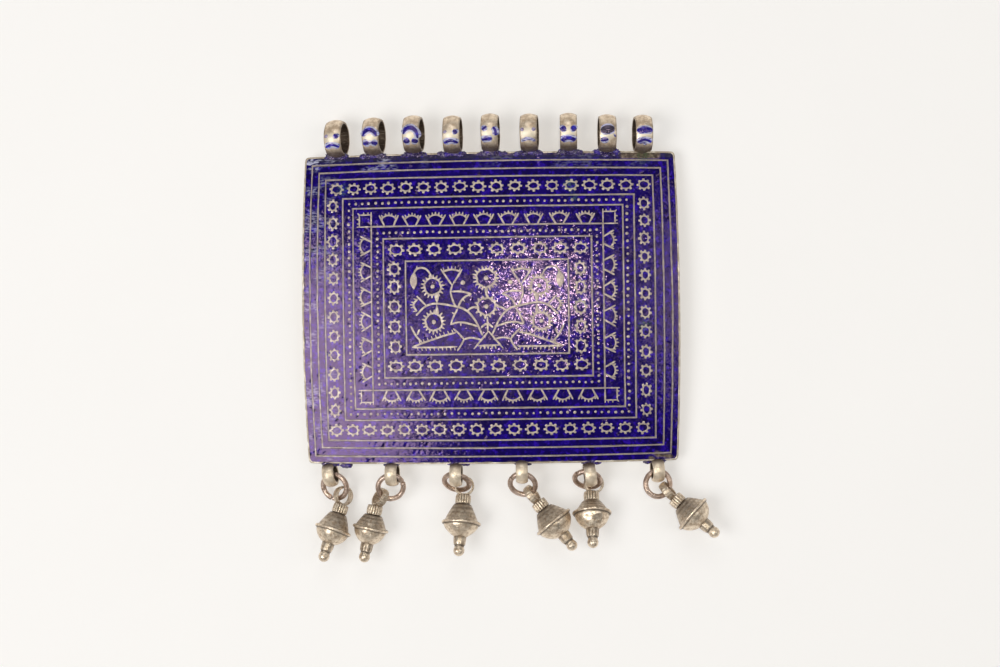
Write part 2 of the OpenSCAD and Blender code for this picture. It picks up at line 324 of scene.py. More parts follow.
def stroke(path, widths, ends=(0.5, 0.5), section=STRIP):
    """A strip along a path, as wide as widths say, with its ends drawn in to the given shares."""
    path = np.asarray(path, float)
    if len(path) == 2:
        path = path[0] + (path[1] - path[0]) * np.linspace(0, 1, 5)[:, None]
    along = np.gradient(path, axis=0)
    along /= np.linalg.norm(along, axis=1)[:, None]
    out = np.stack([along[:, 1], -along[:, 0]], -1)
    half = spaced(widths, len(path)) / 2
    half *= 1 + 0.12 * wander(path[:, 0], path[:, 1], 1.1, 3)
    half[0] *= ends[0]
    half[-1] *= ends[1]
    rows = [raised(path + out * (half * side)[:, None], height) for side, height in section]
    return loft(np.stack(rows, 1), caps=True)


def tooth(base, direction, length, width):
    """A short blunt spike."""
    base, direction = np.array(base, float), np.array(direction, float)
    tip = base + direction / np.linalg.norm(direction) * length
    return stroke([base, tip], [width, width * 0.85, width * 0.5], ends=(1, 0.6))


def sunburst(centre, radii, ray, rays, ring_w, ray_w):
    """A ring with blunt rays round it, as a closed band. The rays take ray_w of its round."""
    along = np.arange(rays * RAY_POINTS) / RAY_POINTS
    angle = full_turn(len(along)) + rng.uniform(-0.12, 0.12)
    off_ray = np.abs((along + 0.5) % 1 - 0.5)
    lengths = (ray * rng.uniform(0.8, 1.15, rays))[np.round(along).astype(int) % rays]
    reach = np.clip((ray_w / 2 + RAY_FLANK / 2 - off_ray) / RAY_FLANK, 0, 1) * lengths
    direction = np.stack([np.cos(angle), np.sin(angle)], -1)
    lumps = 1 + 0.05 * wander(3 * direction[:, 0], 3 * direction[:, 1] + centre[0], 1.3, 9)
    outer = direction * radii * lumps[:, None] + direction * reach[:, None]
    inner = direction * (np.array(radii) - ring_w) * lumps[:, None] ** 2
    rows = []
    for share, height in RING_SECTION:
        rows.append(raised(outer + (inner - outer) * share + np.array(centre), height))
    return loft(np.array(rows), closed=True)


def dot(centre, radius):
    """A low round boss."""
    angle = full_turn(DOT_POINTS)
    lumps = 1 + 0.1 * rng.uniform(-1, 1, DOT_POINTS)
    direction = np.stack([np.cos(angle), np.sin(angle)], -1)
    rows = []
    for share, height in DOT_SECTION:
        rows.append(raised(direction * (radius * share * lumps)[:, None] + np.array(centre), height))
    return loft(np.array(rows), caps=True)


def ornament(name, parts, material):
    """Joined strips laid on the dome, sunk where the plate is worn. Their flanks are darker."""
    laid, flanks = [], []
    for points, faces in parts:
        points = points.copy()
        flanks.append(ramp(-points[:, 2], 0.005, EDGE_DROP))
        points[:, 2] -= worn_down(points[:, 0], points[:, 1])
        laid.append((on_dome(points), faces))
    return piece(name, laid, material, "plate_silver", stain=stains, recess=np.concatenate(flanks))


# Green stains. columns: x, y, radius
STAINS = [
    (19.3, 28.8, 1.6), (-34.9, 28.6, 1.6), (36.4, -4.1, 1.8),
    (21.6, 1.2, 1.5), (20, 26, 1.2), (36.8, 36, 2.4),
]


def stains(points):
    """Green stain on and round a few flowers, and at the upper right corner."""
    amount = np.zeros(len(points))
    for x, y, r in STAINS:
        amount = np.maximum(amount, 1 - ramp(np.hypot(points[:, 0] - x, points[:, 1] - y), 0.3 * r, 1.3 * r))
    return amount


def spread(count, first, last, drift, skew):
    """Places of motifs laid out by hand along a side: evenly, but drawn aside in the middle."""
    t = np.linspace(0, 1, count)
    return first + (last - first) * t + 4 * t * (1 - t) * (drift + 2 * skew * (1 - 2 * t))


def frame_lines():
    """The eight silver lines, each a closed band with a slightly unsteady edge."""
    parts = []
    for i in range(len(LINES)):
        rows = []
        for grow, height in LINE_SECTION:
            loop = line_loop(i, grow * LINE_W, 0.6)
            x, y = loop[:, 0], loop[:, 1]
            unsteady = 0.05 * wander(x, y, 4, 20 + i) + 0.02 * wander(x, y, 0.9, 40 + i)
            thinner = 0.03 * np.sign(grow) * wander(x, y, 2.2, 60 + i)
            shift = np.stack([wander(x, y, 9, 80 + i), wander(x, y, 9, 90 + i)], -1) * 0.06
            rows.append(raised(loop * (1 + (unsteady + thinner)[:, None] / 35) + shift, height))
        parts.append(loft(np.array(rows), closed=True))
    return parts


# Flower bands. columns: count, first, last, drift, skew, place across, runs along Y, half width, half height
OUTER_FLOWERS = [
    (18, -36.40, 36.70, -0.35, -0.35, 28.80, False, 1.40, 1.10),
    (18, -37.10, 35.90, -0.60, -0.45, -28.75, False, 1.40, 1.10),
    (12, 24.75, -24.00, 0.20, 0.40, -37.30, True, 1.12, 1.33),
    (12, 24.35, -24.45, 0.75, 0.15, 36.75, True, 1.12, 1.33),
]
INNER_FLOWERS = [
    (10, -22.10, 21.60, -0.35, -0.45, 14.00, False, 1.58, 1.18),
    (10, -22.40, 21.60, -0.05, -0.35, -13.60, False, 1.58, 1.18),
    (5, 9.55, -9.10, 0.35, 0.15, -22.50, True, 1.24, 1.50),
    (5, 9.15, -9.20, 0.00, 0.05, 21.50, True, 1.24, 1.50),
]
FLOWER_RING_W = 0.4
FLOWER_RAY = 0.44
FLOWER_RAYS = 8
FLOWER_RAY_SHARE = 0.5


def flower_band(table):
    """The flowers of one band, each a little off its place, its size and its strip's width."""
    parts = []
    for count, first, last, drift, skew, across, upright, half_x, half_y in table:
        for place_along in spread(count, first, last, drift, skew) + rng.uniform(-0.08, 0.08, count):
            centre = (across, place_along) if upright else (place_along, across)
            radii = np.array([half_x, half_y]) * rng.uniform(0.94, 1.05, 2)
            centre = np.array(centre) + rng.uniform(-0.07, 0.07, 2)
            ring_w = FLOWER_RING_W * rng.uniform(0.88, 1.12)
            parts.append(sunburst(centre, radii, FLOWER_RAY, FLOWER_RAYS, ring_w, FLOWER_RAY_SHARE))
    return parts


# Rows of dots. columns: left, right, bottom, top, pitch, radius
OUTER_DOTS = (-33.4, 32.7, -24.95, 25.2, 1.63, 0.36)
INNER_DOTS = (-26.5, 25.55, -17.75, 18.1, 1.5, 0.35)


def dot_band(left, right, bottom, top, pitch, radius):
    """Dots along a rectangle, one in each corner."""
    corners = np.array([(left, top), (right, top), (right, bottom), (left, bottom)])
    parts = []
    for start, end in zip(corners, np.roll(corners, -1, axis=0)):
        count = round(np.linalg.norm(end - start) / pitch)
        for k in range(count):
            centre = start + (end - start) * k / count + rng.uniform(-0.1, 0.1, 2)
            parts.append(dot(centre, radius * rng.uniform(0.85, 1.12)))
    return parts


# The line that carries the cups and the corner squares, counted from 0
CUP_LINE = 5
# columns: count, first, last, drift, skew
CUPS = {
    "top": (9, -23.75, 22.90, -0.70, 0.05), "bottom": (9, -23.55, 23.10, -0.35, 0.15),
    "left": (6, 15.05, -14.95, 0.00, -0.20), "right": (6, 15.65, -15.10, 0.60, 0.00),
}
CUP_FOOT = 0.95
CUP_LIP = 2.35
CUP_H = 2.6
CUP_APEX = 2.6
# columns: along the line, out from it
CUP_BOW = [(-1.85, 1.7), (-1.0, 2.35), (0, CUP_APEX), (1.0, 2.35), (1.85, 1.7)]
CUP_TEETH = 5


def cup(at, along, out):
    """Two bars that lean apart, joined by a toothed bow. The solder filled one of the joints."""
    along, out = np.array(along, float), np.array(out, float)
    size = rng.uniform(0.95, 1.05)
    spot = lambda s, t: at + (along * s + out * t) * size
    filled = rng.choice((-1, -1, 1))
    parts = []
    for side in (-1, 1):
        foot = CUP_FOOT * rng.uniform(0.82, 1.15)
        lip = CUP_LIP * rng.uniform(0.95, 1.04)
        bar = [spot(side * foot, 0), spot(side * (foot + lip) * 0.49, CUP_H / 2), spot(side * lip, CUP_H)]
        parts.append(stroke(curve(bar, 4), [0.42, 0.5, 0.44], ends=(1, 0.6)))
        joint_w = 0.8 if side == filled else 0.4
        joint = [spot(side * lip * 0.83, CUP_H * 0.68), spot(side * lip * 0.62, CUP_H * 0.7)]
        parts.append(stroke(joint, [joint_w, joint_w * 0.65]))
    parts.append(stroke(curve([spot(s, t) for s, t in CUP_BOW], 4), [0.44, 0.42, 0.44]))
    for k in range(CUP_TEETH):
        s = (k - CUP_TEETH // 2) * 0.7 + rng.uniform(-0.06, 0.06)
        base = spot(s, CUP_APEX - 0.26 * s * s)
        parts.append(tooth(base, along * s * 0.3 + out, rng.uniform(0.5, 0.8), 0.48))
    return parts


def cup_band():
    """Cups along the four sides of their line, all standing outwards."""
    left, right, bottom, top, _ = LINES[CUP_LINE]
    edges = {"top": (top, 1), "bottom": (bottom, -1), "left": (left, -1), "right": (right, 1)}
    parts = []
    for side, (count, first, last, drift, skew) in CUPS.items():
        edge, out = edges[side]
        for where in spread(count, first, last, drift, skew):
            if side in ("top", "bottom"):
                parts += cup(np.array([where, edge]), (1, 0), (0, out))
            else:
                parts += cup(np.array([edge, where]), (0, 1), (out, 0))
    return parts


CORNER_SQUARE = 2.85
CORNER_RUN_ON = 3.5
# Bars of one corner. columns: start, end, widths
CORNER_BARS = [
    ((0.1, 0), (CORNER_RUN_ON, 0), (LINE_W, 0.4)), ((0, 0.1), (0, CORNER_RUN_ON), (LINE_W, 0.5)),
    ((CORNER_SQUARE, -0.1), (CORNER_SQUARE, CORNER_SQUARE), (0.42, 0.38)),
    ((CORNER_SQUARE, CORNER_SQUARE), (-0.1, CORNER_SQUARE), (0.42, 0.4)),
]
CORNER_TEETH_AT = (0.75, 1.8)


def corner_squares():
    """At each corner the cups' line runs on both ways, and two toothed sides close a square."""
    left, right, bottom, top, _ = LINES[CUP_LINE]
    side = CORNER_SQUARE
    parts = []
    corners = [(left, top, -1, 1), (right, top, 1, 1), (left, bottom, -1, -1), (right, bottom, 1, -1)]
    for x, y, ox, oy in corners:
        at = lambda s, t: (x + ox * s, y + oy * t)
        for start, end, widths in CORNER_BARS:
            parts.append(stroke([at(*start), at(*end)], widths))
        for k in CORNER_TEETH_AT:
            parts.append(tooth(at(side, k), (ox, 0), 0.62, 0.4))
            parts.append(tooth(at(k, side), (0, oy), 0.62, 0.4))
        parts.append(tooth(at(side, side), (ox, oy), 0.6, 0.44))
    return parts


# The flowering plant of the middle panel, charted from its foot: X from the middle, Y from the baseline
PANEL_AT = (-0.58, -9.0)
# columns: x, y, half width, half height, ray, rays, dot radius
PANEL_FLOWERS = [
    (-0.1, 16.0, 2.52, 2.34, 0.75, 20, 0.62), (-0.1, 9.3, 2.34, 2.22, 0.62, 14, 0.58),
    (-12.8, 14.2, 2.22, 2.2, 0.72, 18, 0.55), (-12.6, 5.8, 2.24, 2.2, 0.72, 18, 0.55),
    (12.4, 14.1, 2.22, 2.2, 0.72, 18, 0.55), (12.8, 5.8, 2.24, 2.2, 0.72, 18, 0.55),
]
PANEL_RING_W = 0.5
PANEL_RAY_SHARE = 0.42
PANEL_LINE_W = 0.5
# Curves of the left half, which the right half mirrors roughly
PLANT_CURVES = {
    "main stem": [(-1.1, 2.5), (-1.75, 4.0), (-2.65, 5.85), (-4.1, 7.8), (-5.8, 8.95), (-7.4, 9.4),
                  (-9.5, 9.85), (-11.85, 10.15), (-13.5, 9.95), (-15.0, 9.2), (-16.2, 8.0), (-16.8, 7.4)],
    "cup bar": [(-16.6, 12.0), (-14.3, 9.6)],
    "fan left arm": [(-10.8, 18.3), (-8.15, 14.4)],
    "fan right arm": [(-5.7, 18.2), (-8.15, 14.4)],
    "fan stem": [(-8.15, 14.4), (-8.5, 13.0), (-8.3, 11.7), (-7.65, 9.9), (-6.85, 9.1)],
    "bud top": [(-8.4, 12.95), (-5.8, 12.9), (-3.6, 12.25)],
    "bud bottom": [(-3.6, 12.25), (-5.05, 11.7), (-6.1, 10.65), (-6.8, 9.2)],
    "sail edge": [(-6.85, 8.95), (-7.9, 7.0), (-8.6, 5.15)],
    "sail foot": [(-8.6, 5.15), (-6.85, 5.65), (-4.8, 5.45), (-2.0, 4.6)],
    "side branch": [(-4.55, 8.4), (-3.7, 9.0), (-2.3, 9.3)],
    "under branch": [(0.05, 5.35), (-0.6, 5.0), (-1.4, 4.4)],
    "low branch": [(-1.5, 1.5), (-3.7, 2.0), (-5.5, 1.65)],
    "leaf end up": [(-5.5, 1.65), (-6.7, 3.0), (-8.0, 4.2)],
    "leaf end down": [(-5.5, 1.65), (-6.1, 0.4), (-7.15, -1.1)],
    "leaf top": [(-17.9, -0.15), (-15.5, 0.8), (-12.6, 1.75), (-10.0, 2.6), (-7.4, 3.25)],
    "leaf bottom": [(-17.9, -0.15), (-12.5, -0.2), (-7.1, -0.1)],
    "twig": [(-18.1, 4.9), (-16.9, 2.6), (-15.4, 0.95)],
    "twig fork": [(-16.05, 4.1), (-16.6, 2.8)],
    "curl": [(-12.95, 16.1), (-13.5, 17.4), (-14.3, 18.3), (-15.3, 18.65), (-16.5, 18.4), (-17.2, 17.5)],
}
# Bowed strips with teeth. columns: start, middle, end, teeth
PLANT_COMBS = {
    "fan": ((-10.3, 17.75), (-8.2, 18.15), (-6.1, 17.7), 5),
    "cup": ((-16.45, 11.3), (-17.4, 9.9), (-16.6, 8.3), 5),
}
# Single teeth. columns: x, y, direction along X, direction along Y
PLANT_SPURS = [
    (-6.1, 12.9, 0, 1), (-5.6, 11.1, 0.7, -1), (-7.7, 7.6, -1, 0.8), (-6.2, 5.6, 0, -1), (-16.5, 18.4, 0, 1),
]
# Wedges that meet at the main stem. columns: wide end, thin end, width
PLANT_WEDGES = [((-11.85, 12.3), (-11.8, 10.2), 1.25), ((-11.8, 7.7), (-11.85, 9.9), 1.05)]
# The long bud at the side
BUD_PATH = [(-17.15, 17.6), (-17.35, 15.6), (-17.25, 13.6)]
BUD_WIDTHS = [0.3, 1.3, 1.85, 1.95, 1.75, 1.1, 0.25]
LEAF_TOP_TEETH = 9
LEAF_FOOT_TEETH = 10
LEAF_TEETH_PITCH = 0.98
FOOT_TEETH = 5
FOOT_TEETH_PITCH = 0.85
# Bars on the middle of the panel. columns: start, end, widths
MIDDLE_BARS = [
    ((-0.1, 13.8), (-0.05, 11.6), [1.2, 0.6, 0.45]), ((0.1, 6.9), (0.15, 3.3), PANEL_LINE_W),
    ((0.35, 3.5), (-3.2, -0.7), PANEL_LINE_W), ((0.35, 3.5), (3.75, -0.6), PANEL_LINE_W),
    ((-2.2, 0.05), (3.0, 0.2), PANEL_LINE_W),
]


def panel(points, side):
    """Points of the chart's left half (-1), or mirrored to the right (1), in the plate's plan."""
    return np.array(points, float) * (-side, 1) + PANEL_AT


def plant_half(side):
    """One half of the plant: the charted left one (-1), or the right one (1), drawn a little unlike it."""
    parts = []
    for points in PLANT_CURVES.values():
        path = panel(points, side) + rng.uniform(-0.08, 0.08, (len(points), 2)) * (side > 0)
        width = PANEL_LINE_W * rng.uniform(0.92, 1.08)
        parts.append(stroke(curve(path, 5) if len(path) > 2 else path, width))
    for start, middle, end, teeth in PLANT_COMBS.values():
        path = curve(panel([start, middle, end], side), 8)
        parts.append(stroke(path, PANEL_LINE_W))
        chord = path[-1] - path[0]
        out = np.array([-chord[1], chord[0]])
        out = out * np.sign(out @ (path[len(path) // 2] - (path[0] + path[-1]) / 2))
        for k in range(teeth):
            t = (k + 0.35) / (teeth - 0.3)
            base = path[round(t * (len(path) - 1))]
            way = out / np.linalg.norm(out) + chord / np.linalg.norm(chord) * (t - 0.5) * 0.6
            parts.append(tooth(base, way, 0.85, 0.36))
    for x, y, dx, dy in PLANT_SPURS:
        parts.append(tooth(panel([(x, y)], side)[0], (-dx * side, dy), 0.75, 0.36))
    leaf_top = PLANT_CURVES["leaf top"]
    for k in range(LEAF_TOP_TEETH):
        x = -15.9 + k * LEAF_TEETH_PITCH
        y = np.interp(x, [p[0] for p in leaf_top], [p[1] for p in leaf_top])
        parts.append(tooth(panel([(x, y)], side)[0], (0.35 * side, 1), 0.9, 0.34))
    for k in range(LEAF_FOOT_TEETH):
        base = panel([(-16.6 + k * LEAF_TEETH_PITCH, -0.15)], side)[0]
        parts.append(tooth(base, (-0.2 * side, -1), 0.85, 0.34))
    for wide, thin, width in PLANT_WEDGES:
        parts.append(stroke(panel([wide, thin], side), [width, width * 0.75, 0.25], ends=(0.8, 0.6)))
    parts.append(stroke(curve(panel(BUD_PATH, side), 8), BUD_WIDTHS, ends=(0.6, 0.6)))
    parts.append(dot(panel([(-5.6, 15.0)], side)[0], 0.6))
    return parts


def flowering_plant():
    """Both halves, the six flowers, and the stem and foot on the middle."""
    parts = plant_half(-1) + plant_half(1)
    for x, y, half_x, half_y, ray, rays, centre in PANEL_FLOWERS:
        at = np.array(PANEL_AT) + (x, y)
        parts.append(sunburst(at, (half_x, half_y), ray, rays, PANEL_RING_W, PANEL_RAY_SHARE))
        parts.append(dot(at, centre))
    at = lambda x, y: (PANEL_AT[0] + x, PANEL_AT[1] + y)
    for start, end, widths in MIDDLE_BARS:
        parts.append(stroke([at(*start), at(*end)], widths))
    for k in range(FOOT_TEETH):
        lean = 0.1 * (k - FOOT_TEETH // 2)
        parts.append(tooth(at(-1.5 + k * FOOT_TEETH_PITCH, 0.05), (lean, -1), 0.8, 0.4))
    return parts


# Enamel

ENAMEL_STEP = 0.32
PIT_COUNT = 330
CHIPPED_EDGE = (-2, 27)


def bare_metal(x, y):
    """1 where the enamel is lost: by the last bails, at the lower right corner and in nicks along the rim."""
    ragged = 0.5 * wander(x, y, 1.6, 5) + 0.4 * wander(x, y, 0.5, 6)
    top_patch = ramp(x, 30.6, 32.0) * (1 - ramp(x, 40.2, 41.4)) * ramp(y, 34.9, 35.3)
    corner = ramp(x, 35.0, 38.0) * ramp(-y, 32.6, 35.0) * (1 - ramp(x, 42.0, 44.0))
    scratched = corner * (0.55 + 0.6 * wander(x * 0.35, y * 2.2, 0.9, 8))
    inward = np.minimum(PLATE_W / 2 - np.abs(x), PLATE_H / 2 - np.abs(y))
    rim = (1 - ramp(inward, 0.35, 1.0)) * 0.62
    chipped = (1 - ramp(x, -44.6, -43.4)) * ramp(y, CHIPPED_EDGE[0], CHIPPED_EDGE[0] + 3)
    chipped = chipped * (1 - ramp(y, CHIPPED_EDGE[1] - 3, CHIPPED_EDGE[1]))
    lost = np.maximum.reduce([top_patch * 1.15, scratched, rim, chipped * 0.75])
    return ramp(lost + ragged * 0.45, 0.55, 0.8)


def pits():
    """Centre, radius and depth of the larger pits, thicker at the lower left."""
    dice = np.random.default_rng(31)
    x = dice.uniform(-44, 44, PIT_COUNT)
    y = dice.uniform(-36, 36, PIT_COUNT)
    x[::3] = -44 + 30 * dice.uniform(0, 1, len(x[::3])) ** 1.3
    y[::3] = -36 + 26 * dice.uniform(0, 1, len(y[::3])) ** 1.3
    return np.stack([x, y, dice.uniform(0.22, 0.55, PIT_COUNT), dice.uniform(0.05, 0.17, PIT_COUNT)], -1)


PITS = pits()


def pit_depth(x, y):
    """How deep the larger pits go at a place."""
    depth = np.zeros_like(x)
    for px, py, radius, deep in PITS:
        near = np.abs(x - px) < 2 * radius
        near[near] = np.abs(y[near] - py) < 2 * radius
        away = np.hypot(x[near] - px, y[near] - py) / radius
        depth[near] += deep * (1 - ramp(away, 0.25, 1.0))
    return depth


def enamel_height(x, y):
    """Height of the enamel's face over the silver's."""
    height = -ENAMEL_LOW + 0.014 * wander(x, y, 5.5, 11) + 0.007 * wander(x, y, 1.7, 12)
    height = height + 0.004 * wander(x, y, 0.7, 13) - pit_depth(x, y)
    bare = bare_metal(x, y)
    return np.maximum(height - bare * (0.10 + 0.05 * wander(x, y, 0.6, 14)), -CELL_DEPTH + 0.08)


def enamel_cell(outer, inner, rows):
    """A ring of glass between two loops, with a worked face and plain sides and back."""
    shares = np.linspace(0, 1, rows)
    top = outer[:, None] + (inner - outer)[:, None] * shares[None, :, None]
    height = enamel_height(top[..., 0].ravel(), top[..., 1].ravel()).reshape(top.shape[:2])
    back = np.full((len(outer), 2), ENAMEL_GAP - CELL_DEPTH)
    plan = np.concatenate([top, inner[:, None], outer[:, None]], 1)
    heights = np.concatenate([height, back], 1)[..., None]
    return loft(on_dome(np.concatenate([plan, heights], -1)), closed=True)


def enamel_panel():
    """The middle cell, as sections from left to right."""
    left, right, bottom, top, _ = LINES[-1]
    inset = LINE_W / 2 + ENAMEL_GAP
    xs = np.linspace(left + inset, right - inset, round((right - left) / ENAMEL_STEP))
    ys = np.linspace(bottom + inset, top - inset, round((top - bottom) / ENAMEL_STEP))
    back_ys = np.linspace(top - inset, bottom + inset, 9)
    x, y = np.meshgrid(xs, ys, indexing="ij")
    face = np.stack([x, y, enamel_height(x.ravel(), y.ravel()).reshape(x.shape)], -1)
    x, y = np.meshgrid(xs, back_ys, indexing="ij")
    back = np.stack([x, y, np.full(x.shape, ENAMEL_GAP - CELL_DEPTH)], -1)
    return loft(on_dome(np.concatenate([face, back], 1)), caps=True)


def painted_window_reflection(x, y):
    """How strongly the window's reflection is painted on the glass, as pale flecks: along the top, thickest
    at the left, and down the left side.
    """
    patches = ramp(wander(x * 0.5, y, 2.3, 71) + 0.3 * wander(x, y, 0.9, 72), 0.05, 0.55)
    top = ramp(y, 32.2, 33.8) * (1 - 0.85 * ramp(x, -34, -16))
    left = 0.5 * (1 - ramp(x, -42, -34))
    return patches * np.maximum(top, left)


def enamel_pieces(material):
    """The glass of the nine cells, with the fields that its material reads."""
    fields = {
        "bare": lambda points: bare_metal(points[:, 0], points[:, 1]),
        "pit": lambda points: ramp(pit_depth(points[:, 0], points[:, 1]), 0.02, 0.09),
        # pale: where the window's reflection is painted on the glass
        "pale": lambda points: painted_window_reflection(points[:, 0], points[:, 1]),
        "dark": lambda points: 0.75 * ramp(points[:, 1], 34.9, 35.6),
        "stain": stains,
    }
    inset = LINE_W / 2 + ENAMEL_GAP
    for i in range(len(LINES)):
        if i == 0:
            outer = plate_loop(RIM_W + ENAMEL_GAP, ENAMEL_STEP)
        else:
            outer = line_loop(i - 1, -inset, ENAMEL_STEP)
        inner = line_loop(i, inset, ENAMEL_STEP)
        width = np.linalg.norm(outer - inner, axis=1).max()
        part = enamel_cell(outer, inner, max(4, round(width / ENAMEL_STEP / 1.2)))
        piece(f"glass_border_{i + 1}", [part], material, "blue_enamel", [f"enamel_border_{i + 1}"], sharp=60,
              **fields)
    piece("glass_panel", [enamel_panel()], material, "blue_enamel", ["enamel_centre"], sharp=60, **fields)


# The plate's own silver

def plate_body():
    """The domed sheet under the enamel: floor of the cells, rim, edge and hollow underside."""
    step = 0.6
    rim = plate_loop(0, step)
    count_end, count_side = round(PLATE_W / step), round(PLATE_H / step)
    reach = (PLATE_W - PLATE_H) / 2
    spine_x = np.concatenate([np.linspace(-reach, reach, count_end, False), np.full(count_side, reach),
                              np.linspace(reach, -reach, count_end, False), np.full(count_side, -reach)])
    spine = np.stack([spine_x, np.zeros_like(spine_x)], -1)
    half = PLATE_H / 2
    rows = []
    for inset in np.linspace(half, RIM_W + 0.05, 14):
        rows.append((inset, -CELL_DEPTH))
    rows += [(RIM_W, -CELL_DEPTH), (RIM_W - 0.02, -0.06), (RIM_W - 0.08, -0.02), (0.12, -0.03), (0.03, -0.1),
             (0, -0.25), (0, 0.25 - PLATE_T), (0.06, 0.08 - PLATE_T), (0.25, -PLATE_T)]
    for inset in np.linspace(1, half, 38):
        rows.append((inset, -PLATE_T))
    made = []
    for inset, height in rows:
        loop = rim + (spine - rim) * (inset / half)
        x, y = loop[:, 0], loop[:, 1]
        if height <= -PLATE_T:
            height = height + 0.05 * wander(x, y, 7, 51) + 0.02 * wander(x, y, 2, 52)
        elif inset < RIM_W:
            nick = ramp(wander(x, y, 1.3, 53) + 0.4 * wander(x, y, 0.5, 54), 0.55, 1.0)
            loop = loop * (1 - 0.12 * nick[:, None] / 40)
            height = height - 0.05 * nick
        made.append(raised(loop, height))
    return loft(on_dome(np.array(made)))


OUTSIDE_POINTS = 13


def strip_section(od, bore, width, crown):
    """Across a strip, outside first: where each point lies along the bore, and how far from its axis."""
    across = np.linspace(-1, 1, OUTSIDE_POINTS)
    outer = [(a * (width / 2 - 0.06), od / 2 - crown * a * a) for a in across]
    side = od / 2 - crown - 0.1
    middle = (side + bore / 2) / 2
    half = [(width / 2, side), (width / 2, middle), (width / 2 - 0.05, bore / 2 + 0.04),
            (width / 4, bore / 2)]
    return outer + half + [(0, bore / 2 + 0.02)] + [(-a, r) for a, r in reversed(half)]


def strip_ring(od, bore, width, crown, seed, relief=None, around=112):
    """A bent strip round X, hammered a little uneven. relief(along, way_round) adds height outside."""
    angle = full_turn(around)
    rubbed = 0.05 * np.abs(wander(np.cos(angle) * 4, np.sin(angle) * 4, 1.8, seed + 1))
    rows = []
    for k, (a, r) in enumerate(strip_section(od, bore, width, crown)):
        uneven = wander(np.cos(angle) * 3 + a, np.sin(angle) * 3, 1.6, seed)
        outside = k < OUTSIDE_POINTS
        radius = r - 0.05 * ramp(uneven, -0.2, 1) if outside else r + 0.02 * uneven
        if outside and relief is not None:
            way_round = (angle + math.pi) % (2 * math.pi) - math.pi
            radius = radius + relief(np.full(around, a), way_round * od / 2)
        rows.append(np.stack([a - rubbed * np.sign(a), radius * np.sin(angle), radius * np.cos(angle)], -1))
    return np.array(rows)


def in_bore(points, bore):
    """1 on the inside of a strip bent round X, 0 on its outside."""
    return 1 - ramp(np.hypot(points[:, 1], points[:, 2]), bore / 2 + 0.05, bore / 2 + 0.4)


def edge_z(x, side):
    """Height of the middle of the sheet at the plate's edge: 1 is the bails' side and -1 the lugs'."""
    return dome(x, side * PLATE_H / 2) - PLATE_T / 2


def at_bail(points, bail):
    """Points round a bail's own axis, put where the bail stands."""
    x, y, lean = bail
    lean_back = math.degrees(math.asin(x / DOME_R)) - lean
    return turned(points, y=lean_back) + (x, y, edge_z(x, 1) + BAIL_LIFT)


def at_lug(points, lug):
    """Points round a lug's own axis, put where the lug stands."""
    x, y, turn, up = lug
    upright = turned(points, y=math.degrees(math.asin(x / DOME_R)), z=turn)
    return upright + (x, y, edge_z(x, -1) - LUG_DROP + up)


# Enamel marks on the bails. X runs along the bore, and Y round the bail from its top, away from the plate
ARC = [(-1.7, -0.35), (-1.3, 0.6), (-0.45, 1.2), (0.45, 1.18), (1.25, 0.5), (1.65, -0.45)]
BOW = [(-1.7, -2.7), (-0.95, -2.15), (0, -1.85), (0.95, -2.15), (1.65, -2.7)]
LEFT_SPOT = [(-1.75, 0.05), (-0.95, 0.55)]
RIGHT_SPOT = [(0.72, 0.75), (1.45, -0.25)]
LEFT_BLOB = [(-1.75, -2.4), (-0.2, -1.75)]
RIGHT_BLOB = [(0.3, -1.78), (1.75, -2.4)]
# One row a bail, one entry a mark. columns: path, widths, look
BAIL_MARKS = [
    [(LEFT_SPOT, 0.7, "faint"), (RIGHT_SPOT, 0.95, "blue"), (BOW, 0.75, "blue")],
    [(ARC, (0.8, 1.05, 1.05, 0.8), "blue"), (LEFT_BLOB, 0.95, "blue"), (RIGHT_BLOB, 0.95, "blue"),
     ([(-0.5, -1.75), (0, -2.0), (0.5, -1.8)], 0.35, "blue")],
    [(ARC + [(1.7, -1.5)], (0.8, 1.05, 1.1, 0.9, 0.7), "blue"), (LEFT_BLOB, 1.05, "blue"),
     (RIGHT_BLOB, 1.05, "blue")],
    [(LEFT_SPOT, 0.6, "faint"), (RIGHT_SPOT, 0.95, "blue"), (BOW, 0.82, "blue"),
     ([(-0.6, -1.85), (0.6, -1.85)], 0.5, "pale")],
    [([(-1.65, 0.3), (-0.5, 1.1)], 0.85, "blue"), ([(0.95, 0.95), (1.5, 0.15), (1.62, -1.2)], 0.8, "blue"),
     ([(-1.8, -2.3), (-0.6, -1.9), (0.75, -1.85)], 0.85, "blue")],
    [([(-1.7, 0.1), (-1.1, 0.75)], 0.75, "faint"), ([(1.0, 0.75), (1.65, 0.1)], 0.75, "faint"),
     (BOW, 0.6, "pale")],
    [([(-1.8, 0.0), (-0.65, 0.85)], 1.25, "blue"), ([(0.65, 0.85), (1.8, 0.0)], 1.25, "blue"),
     (BOW, 0.95, "blue")],
    [([(-1.8, 0.35), (1.5, 0.75)], 1.95, "dark"), ([(-1.8, -2.35), (0.05, -1.85)], 0.75, "blue"),
     ([(1.3, -0.5), (1.75, -1.4)], 0.35, "pale")],
    [([(-1.9, 0.45), (1.9, 0.55)], 1.45, "blue"), (BOW, 0.78, "blue"),
     ([(-0.35, -3.0), (0.5, -3.0)], 0.5, "pale")],
]
MARK_SECTION = [
    (-1, -0.2), (-1, -0.06), (-0.8, 0), (-0.4, 0.02), (0, 0.03), (0.4, 0.02), (0.8, 0), (1, -0.06), (1, -0.2),
]
MARK_SPREAD = 1.28
BAIL_FACE = -0.06
# A blue or dark mark lies on a wider pale one, which paints a highlight round its edge; other marks carry
# half of that painted highlight. columns: wider by, lower by, rim
OUTLINED = ((0.5, 0.012, 1.0), (0, 0, 0.0))
PLAIN = ((0, 0, 0.5),)


